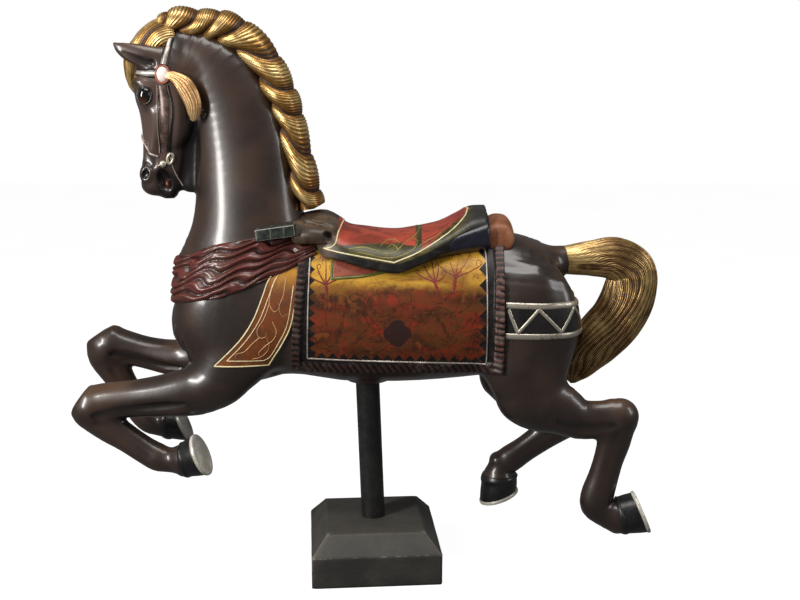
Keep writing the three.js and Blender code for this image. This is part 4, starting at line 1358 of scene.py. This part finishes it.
def saddle(paint, navy, bed_brown):
    clay = Clay((-190, -166, 716), (345, 166, 925), 3.4)
    clay.add(SaddleForm(SADDLE, 13))
    # The pommel, its side rolls, the hollow in each roll's end and a groove above it.
    pommel = [[-178, 0, 846, 16, 34], [-140, 0, 850, 22, 44], [-110, 0, 851, 23, 48], [-80, 0, 842, 16, 44]]
    clay.add(Chain(pommel), 10)
    chain_pair(clay, [[-164, 104, 826, 17, 16], [-136, 110, 829, 18, 17], [-110, 112, 828, 17, 16]], 3)
    chain_pair(clay, [[-178, 60, 842, 16, 40], [-130, 66, 842, 20, 44], [-92, 70, 834, 16, 40]], 14)
    lump_pair(clay, (-98, 116, 829), (13, 13, 11), 3, way="cut")
    chain_pair(clay, [[-150, 84, 858, 4, 12], [-120, 92, 852, 4, 12], [-92, 100, 848, 4, 12]], 5, "cut")
    points, faces = clay.surface()
    x, z = points[:, 0] / MM, points[:, 2] / MM
    soft = curve(SADDLE, 4)
    edge = np.interp(x, soft[:, 0], soft[:, 1])
    skirt = np.clip(((edge + 9) - z) / 6 + 0.5, 0, 1)
    piece("saddle", points, [faces], paint, normals=clay.outward(points), rise=skirt)
    pad = [[75, 0, 778, 20, 118], [135, 0, 792, 26, 124], [195, 0, 812, 34, 120], [266, 0, 826, 44, 106]]
    formed("seat_pad", pad, 90, 8, navy, facing=[1, 0, 0], power=3, ends=(0, 0.1))
    # The roll is turned along x, with rounded ends that hang a little, and is then laid across the back.
    roll = []
    for way, radius in ((1.11, 12), (1.1, 22), (1.07, 29), (1, 33), (0.85, 34), (0.5, 34), (0, 34)):
        roll.append([-ROLL_HALF * way, -ROLL_X, ROLL_LEVEL - 12 * way * way, radius, radius])
    roll += [[-x, *rest] for x, *rest in roll[-2::-1]]
    points, faces, rise = turned_form(roll, 72, 6, bedroll_height, facing=[1, 0, 0], ends=(0.12, 0.12))
    points = np.stack([-points[:, 1], points[:, 0], points[:, 2]], axis=1)
    piece("bedroll", points, facing_out(points, faces), bed_brown, rise=rise)
    return clay


def bedroll_height(share, angle):
    """A rolled blanket with the edge of its last turn along it."""
    wrap = 1.6 * np.exp(-((angle - 4.2) / 0.25) ** 2)
    return wrap + 0.4 * np.sin(share * 14 + angle * 2), 0.5 + 0 * share


SADDLE_LINE = [[-66, 851], [-74, 836], [-79, 815], [-92, 804], [-107, 802], [-89, 798], [-25, 787], [52, 774],
               [108, 797], [170, 833], [206, 862], [222, 880]]
SADDLE_SCROLLS = [
    [[-50, 802, 3], [-20, 806, 4], [10, 800, 4], [40, 792, 3], [60, 800, 3], [48, 810, 2.5], [36, 804, 2]],
    [[-30, 796, 2], [0, 790, 3], [30, 784, 3], [60, 786, 3], [92, 800, 3], [104, 816, 2.5], [94, 824, 2]],
    [[60, 800, 3], [80, 816, 3], [100, 826, 3], [112, 836, 2]],
    [[20, 806, 2], [34, 816, 2.5], [52, 818, 2.5], [66, 812, 2]],
    [[104, 806, 2], [128, 820, 3], [150, 830, 2.5], [166, 842, 2]],
]


def saddle_trim(clay, cream, moss, plate):
    line = [[x, z, 3.6] for x, z in SADDLE_LINE]
    both_sides("saddle_line", clay, [line[:5], line[4:8], line[7:]], cream, height=1.2)
    both_sides("saddle_scrolls", clay, SADDLE_SCROLLS, moss, height=0.8)
    for side, word in SIDES:
        points, faces, rise = bevelled_box((-213, side * 112, 839), (44, 24, 13), 3, 8.0)
        piece(f"collar_plate_{word}", points, faces, plate, rise=rise)


def bevelled_box(centre, half, bevel, tilt):
    """A box with small bevels, tilted about Y. Its edges have a rise of 1."""
    points, faces, rises = [], [], []
    steps = [np.concatenate([[-h, -h + bevel * 0.3, -h + bevel], np.linspace(-h + bevel, h - bevel, 8)[1:-1],
                             [h - bevel, h - bevel * 0.3, h]]) for h in half]
    a = math.radians(tilt)
    count = 0
    for axis in range(3):
        u, v = (axis + 1) % 3, (axis + 2) % 3
        for way in (-1, 1):
            gu, gv = np.meshgrid(steps[u], steps[v], indexing="ij")
            grid = np.zeros((*gu.shape, 3))
            grid[..., axis], grid[..., u], grid[..., v] = way * half[axis], gu, gv
            inner = np.clip(grid, -np.array(half) + bevel, np.array(half) - bevel)
            away = grid - inner
            length = np.linalg.norm(away, axis=-1, keepdims=True)
            grid = inner + away / np.maximum(length, 1e-9) * bevel
            near_edge = ((np.abs(away) > 0.1).sum(axis=-1) > 1).astype(float)
            made = grid_faces(*gu.shape, start=count)
            faces.append(made if way > 0 else made[:, ::-1])
            points.append(grid.reshape(-1, 3))
            rises.append(near_edge.ravel())
            count += gu.size
    flat = np.vstack(points)
    turned = np.stack([flat[:, 0] * math.cos(a) - flat[:, 2] * math.sin(a), flat[:, 1],
                       flat[:, 0] * math.sin(a) + flat[:, 2] * math.cos(a)], axis=1)
    return (turned + centre) * MM, facing_out(turned * MM, [np.vstack(faces)]), np.concatenate(rises)


# ---------------------------------------------------------------- head: eyes and bridle

EYE, ROSETTE = (-504, 1138), (-462, 1184)


def set_on(wood, name, place, radii, tilt, sunk, paint):
    """A rounded boss on both sides of the head, sunk a little into it."""
    for side, word in SIDES:
        spot, out = met(wood, from_the_side(side), [float(place[0])], [float(place[1])])
        centre = (spot[0] - out[0] * sunk * MM) / MM
        points, faces = ball_form(centre, radii, tilt)
        piece(f"{name}_{word}", points, faces, paint)


def ball_form(centre, radii, tilt):
    """A smooth ellipsoid of many faces, tilted about Y."""
    rows, sides = 24, 36
    rise = np.linspace(-math.pi / 2, math.pi / 2, rows + 2)[1:-1]
    turn = np.linspace(0, 2 * math.pi, sides, endpoint=False)
    t, r = np.meshgrid(turn, rise)
    grid = np.stack([np.cos(r) * np.cos(t), np.cos(r) * np.sin(t), np.sin(r)], axis=-1).reshape(-1, 3)
    points = np.vstack([grid, [[0, 0, -1], [0, 0, 1]]]) * radii
    a = math.radians(tilt)
    points = np.stack([points[:, 0] * math.cos(a) + points[:, 2] * math.sin(a), points[:, 1],
                       -points[:, 0] * math.sin(a) + points[:, 2] * math.cos(a)], axis=1)
    return (points + centre) * MM, capped_faces(points, rows, sides)


def ellipse_path(centre, radii, tilt, width):
    """A closed oval of places seen from the side."""
    x, z = centre
    a = math.radians(tilt)
    path = []
    for turn in np.radians(np.linspace(0, 360, 25)):
        u, v = radii[0] * math.cos(turn), radii[1] * math.sin(turn)
        path.append([x + u * math.cos(a) + v * math.sin(a), z - u * math.sin(a) + v * math.cos(a), width])
    return path


def bridle(wood, black, strap, pale, white, silver, rim):
    """The straps, their lines, the bit and the rosettes, with the rims of the eyes."""
    brow = [[-522, 1188, 25], [-498, 1187, 25], [-474, 1186, 25]]
    crown = [[-444, 1268, 20], [-452, 1240, 20], [-459, 1206, 20]]
    cheek = [[-464, 1160, 22], [-461, 1120, 26], [-464, 1060, 24], [-470, 1012, 18]]
    both_sides("bridle_bands", wood, [brow, crown], black, height=3.2)
    band_faces = [[[x, z, 13] for x, z, _ in path] for path in (brow, crown)]
    both_sides("bridle_band_faces", wood, band_faces, pale, height=4.4)
    both_sides("cheek_strap", wood, [cheek], strap, height=3.4)
    back = [[-452, 1161, 5], [-443, 1110, 5], [-448, 1064, 5], [-459, 1012, 5]]
    both_sides("cheek_strap_edge", wood, [back], black, height=4.2)
    front = [[-475, 1161, 2.4], [-476, 1110, 2.4], [-478, 1060, 2.4], [-481, 1010, 2.4]]
    nose = [[-526, 1050, 4], [-516, 1027, 4], [-503, 1010, 4], [-485, 1001, 4]]
    both_sides("cheek_strap_line", wood, [front, nose], pale, height=3.8)
    bit = [[[-486, 980, 4], [-478, 983, 6], [-466, 987, 5]], ellipse_path((-458, 996), (6, 12), 15, 8)]
    both_sides("bit_fittings", wood, bit, silver, height=5)
    set_on(wood, "bit_knob", (-475, 984), (8, 5, 8), 0, -2, silver)
    jaw = [[-457, 1002, 3], [-455, 982, 3], [-446, 954, 3], [-436, 932, 3]]
    both_sides("mouth_edge_line", wood, [jaw], pale, height=1.4)
    both_sides("eye_lids", wood, [ellipse_path((-504, 1139), (16, 20), 12, 5)], black, height=2.5)
    both_sides("rosette_rim", wood, [ellipse_path(ROSETTE, (15, 19), 0, 6)], rim, height=5)
    set_on(wood, "rosette", ROSETTE, (13, 7, 17), 0, -2, white)


# ---------------------------------------------------------------- pole and block

BLOCK_HALF, BLOCK_SIDE, BLOCK_TOP, BLOCK_BEVEL, BLOCK_TURN = 154, 76, 120, 38, 4.6
WORN_EDGE = 7
POLE_RADIUS, POLE_LEAN = 28.5, 2.0


def pole_axis(z):
    """Where the leaning pole's middle is at a level."""
    return -1 - (z - BLOCK_TOP) * math.tan(math.radians(POLE_LEAN))


def pole(paint):
    """A round bar from just inside the block to inside the belly."""
    levels = [118, 150, 200, 250, 300, 350, 400, 450, 505]
    stations = [[pole_axis(z), 0, z, POLE_RADIUS, POLE_RADIUS] for z in levels]
    lean = math.radians(POLE_LEAN)
    formed("turned_pole", stations, 64, 6, paint, facing=[-math.sin(lean), 0, math.cos(lean)], ends=(0, 0),
           slot="pole", stands_for="pole")


def block(paint):
    """A square block with a bevelled top, softened along its edges."""
    turn = math.radians(BLOCK_TURN)
    profile = [[0, 0], [BLOCK_HALF - 3, 0], [BLOCK_HALF, 2.5], [BLOCK_HALF, BLOCK_SIDE - 2.5],
               [BLOCK_HALF - 1, BLOCK_SIDE], [BLOCK_HALF - BLOCK_BEVEL + 1.5, BLOCK_TOP - 1.6],
               [BLOCK_HALF - BLOCK_BEVEL - 2, BLOCK_TOP], [34, BLOCK_TOP], [0, BLOCK_TOP]]
    dense = []
    for (r0, z0), (r1, z1) in zip(profile[:-1], profile[1:]):
        count = max(1, int(math.hypot(r1 - r0, z1 - z0) / 5))
        for step in range(count):
            dense.append([r0 + (r1 - r0) * step / count, z0 + (z1 - z0) * step / count])
    dense.append(profile[-1])
    corners = [(BLOCK_HALF, BLOCK_SIDE), (BLOCK_HALF - BLOCK_BEVEL, BLOCK_TOP), (BLOCK_HALF, 0)]
    dense = np.array(dense[1:-1])
    # The square's outline, with its corners trimmed a little, and how near each place is to a corner.
    plan = []
    for quarter in range(4):
        a = quarter * math.pi / 2
        for v in np.linspace(-1, 1, 40, endpoint=False):
            u = 1 - max(0.0, abs(v) - 0.965) * 0.45
            plan.append([u * math.cos(a) - v * math.sin(a), u * math.sin(a) + v * math.cos(a), abs(v)])
    plan = np.array(plan)
    rows, sides = len(dense), len(plan)
    points = np.zeros((rows, sides, 3))
    points[..., 0] = dense[:, 0:1] * plan[:, 0]
    points[..., 1] = dense[:, 0:1] * plan[:, 1]
    points[..., 2] = dense[:, 1:2]
    near = np.min([np.hypot(dense[:, 0] - r, dense[:, 1] - z) for r, z in corners], axis=0)
    corner = np.clip(1 - (1 - plan[:, 2]) * BLOCK_HALF / WORN_EDGE, 0, 1)
    rise = np.maximum(np.clip(1 - near / WORN_EDGE, 0, 1)[:, None], corner[None, :] * (dense[:, 0:1] > 60))
    dent = 0.5 * np.sin(points[..., 0] / 23) * np.sin(points[..., 1] / 19 + 1) * np.sin(points[..., 2] / 17)
    points[..., 0] += dent * plan[:, 0]
    points[..., 1] += dent * plan[:, 1]
    c, s = math.cos(turn), math.sin(turn)
    flat = points.reshape(-1, 3)
    flat = np.stack([flat[:, 0] * c - flat[:, 1] * s, flat[:, 0] * s + flat[:, 1] * c, flat[:, 2]], axis=1)
    flat = np.vstack([flat, [[0, 0, 0], [0, 0, BLOCK_TOP]]]) * MM
    piece("square_block", flat, capped_faces(flat, rows, sides), paint,
          rise=np.concatenate([rise.ravel(), [0, 0]]), slot="base_block", stands_for="base_block")


# ---------------------------------------------------------------- studio

FLOOR_GLOW, SKY_ON_PIECES = 0.955, 0.13
CAMERA_PLACE, CAMERA_TILT, LENS = (0.065, -2.65, 1.213), 78.2, 51.44


def floor():
    """A white floor that glows by itself, with soft shadows on it."""
    paint = Paint("pale_floor")
    cloud = paint.noise(2, 2)
    colour = paint.mix(cloud.ease(0.3, 0.7), (120, 120, 120), (132, 132, 132))
    material = paint.done(colour, 0.9 + 0.05 * cloud, specular=0.0)
    paint.shader.inputs["Emission Color"].default_value = (1, 1, 1, 1)
    paint.shader.inputs["Emission Strength"].default_value = FLOOR_GLOW
    points = np.array([[-9, -9, 0], [9, -9, 0], [9, 9, 0], [-9, 9, 0]], float)
    mesh = bpy.data.meshes.new("floor")
    mesh.from_pydata(points.tolist(), [], [(0, 1, 2, 3)])
    made = bpy.data.objects.new("floor", mesh)
    bpy.context.scene.collection.objects.link(made)
    made.data.materials.append(material)
    made.visible_diffuse = False
    made.visible_glossy = False


def soft_light(name, place, aim, size, power, colour=(1, 1, 1)):
    data = bpy.data.lights.new(name, "AREA")
    data.shape = "RECTANGLE"
    data.size, data.size_y = size
    data.energy = power
    data.color = colour
    made = bpy.data.objects.new(name, data)
    made.location = place
    made.rotation_euler = (Vector(aim) - Vector(place)).to_track_quat("-Z", "Y").to_euler()
    bpy.context.scene.collection.objects.link(made)


def studio():
    """A sky that is white to the camera and dim on the pieces, with a window, a top and a side light."""
    floor()
    world = bpy.data.worlds.new("studio")
    bpy.context.scene.world = world
    world.use_nodes = True
    nodes, links = world.node_tree.nodes, world.node_tree.links
    background = nodes["Background"]
    seen = nodes.new("ShaderNodeLightPath")
    strength = nodes.new("ShaderNodeMapRange")
    strength.inputs["To Min"].default_value = SKY_ON_PIECES
    strength.inputs["To Max"].default_value = 1.0
    links.new(seen.outputs["Is Camera Ray"], strength.inputs["Value"])
    links.new(strength.outputs[0], background.inputs["Strength"])
    background.inputs["Color"].default_value = (1, 1, 1, 1)
    soft_light("window", (-2.1, -1.9, 1.7), (-0.1, 0, 0.85), (0.45, 1.6), 84, (1, 0.975, 0.94))
    soft_light("top", (0.1, -0.7, 3.1), (0, 0, 0.6), (1.8, 1.2), 42, (1, 0.98, 0.955))
    soft_light("side", (2.5, -0.9, 1.6), (0.3, 0, 0.7), (0.5, 1.4), 14)
    bpy.context.scene.view_settings.view_transform = "Standard"


def camera():
    data = bpy.data.cameras.new("view")
    data.sensor_width = 36
    data.lens = LENS
    made = bpy.data.objects.new("view", data)
    made.location = CAMERA_PLACE
    made.rotation_euler = (math.radians(CAMERA_TILT), 0, 0)
    bpy.context.scene.collection.objects.link(made)
    bpy.context.scene.camera = made


def build():
    camera()
    studio()
    lacquer = brown_lacquer()
    gold = gilded("mane_gold_leaf", (44, 26, 13), (148, 103, 42), (236, 206, 142), 0.46)
    dark_gold = gilded("tail_gold_leaf", (42, 25, 14), (124, 86, 42), (224, 192, 130), 0.52,
                       stain=(506, 745, 9, 34))
    tassel_gold = gilded("tassel_gold_leaf", (96, 56, 28), (214, 156, 96), (250, 226, 176), 0.30)
    silver = silver_leaf()
    black = plain_paint("black_paint", (16, 15, 15), (36, 33, 32), 0.35, coat=0.2)
    cream = plain_paint("cream_line", (206, 190, 140), (236, 224, 182), 0.45)
    pale = plain_paint("pale_silver_line", (150, 138, 128), (206, 196, 186), 0.4, 0.4)
    amber = plain_paint("amber_scroll_line", (178, 128, 82), (214, 172, 120), 0.4)
    red = plain_paint("red_scroll_paint", (100, 24, 15), (126, 34, 20), 0.5)
    green = plain_paint("green_border_paint", (78, 84, 34), (104, 106, 48), 0.35, coat=0.2)
    pink = plain_paint("flap_red_paint", (128, 58, 44), (156, 84, 62), 0.4, coat=0.2)
    moss = plain_paint("moss_scroll_paint", (110, 104, 44), (142, 130, 62), 0.35, coat=0.2)
    navy = plain_paint("navy_black_paint", (20, 20, 30), (36, 36, 52), 0.32, coat=0.2)
    bed_brown = plain_paint("bedroll_brown", (126, 76, 50), (166, 108, 76), 0.5)
    horn = plain_paint("hoof_black", (15, 15, 16), (32, 31, 31), 0.36, coat=0.1)
    iron = plain_paint("bright_iron", (178, 172, 158), (228, 224, 212), 0.34, 0.2)
    white = plain_paint("rosette_white", (216, 188, 178), (240, 226, 218), 0.4)
    strap_brown = plain_paint("strap_brown_silver", (58, 44, 40), (118, 96, 88), 0.32, 0.3)
    tongue_red = plain_paint("tongue_red_paint", (70, 26, 20), (110, 48, 38), 0.3, coat=0.3)
    pole_black = plain_paint("pole_black_paint", (20, 20, 20), (38, 37, 36), 0.38)
    body, back, head = carved_horse(lacquer)
    hooves(horn, iron)
    hair(gold, dark_gold, tassel_gold)
    blanket(back, blanket_paint())
    drape(body, drape_glaze())
    shoulder_panels(body, shoulder_paint(), cream, amber)
    rump_band(body, black, silver)
    blanket_lines(body, pale, red, green, pink)
    seat = saddle(saddle_paint(), navy, bed_brown)
    saddle_trim(seat, cream, moss, plate_paint())
    set_on(head, "eye", EYE, (14, 9, 18), 12, 3, eye_glass())
    bridle(head, black, strap_brown, pale, white, silver, pink)
    points, faces = ball_form((-469, 0, 934), (10, 25, 19), -14)
    piece("tongue", points, faces, tongue_red)
    pole(pole_black)
    block(block_paint())


build()
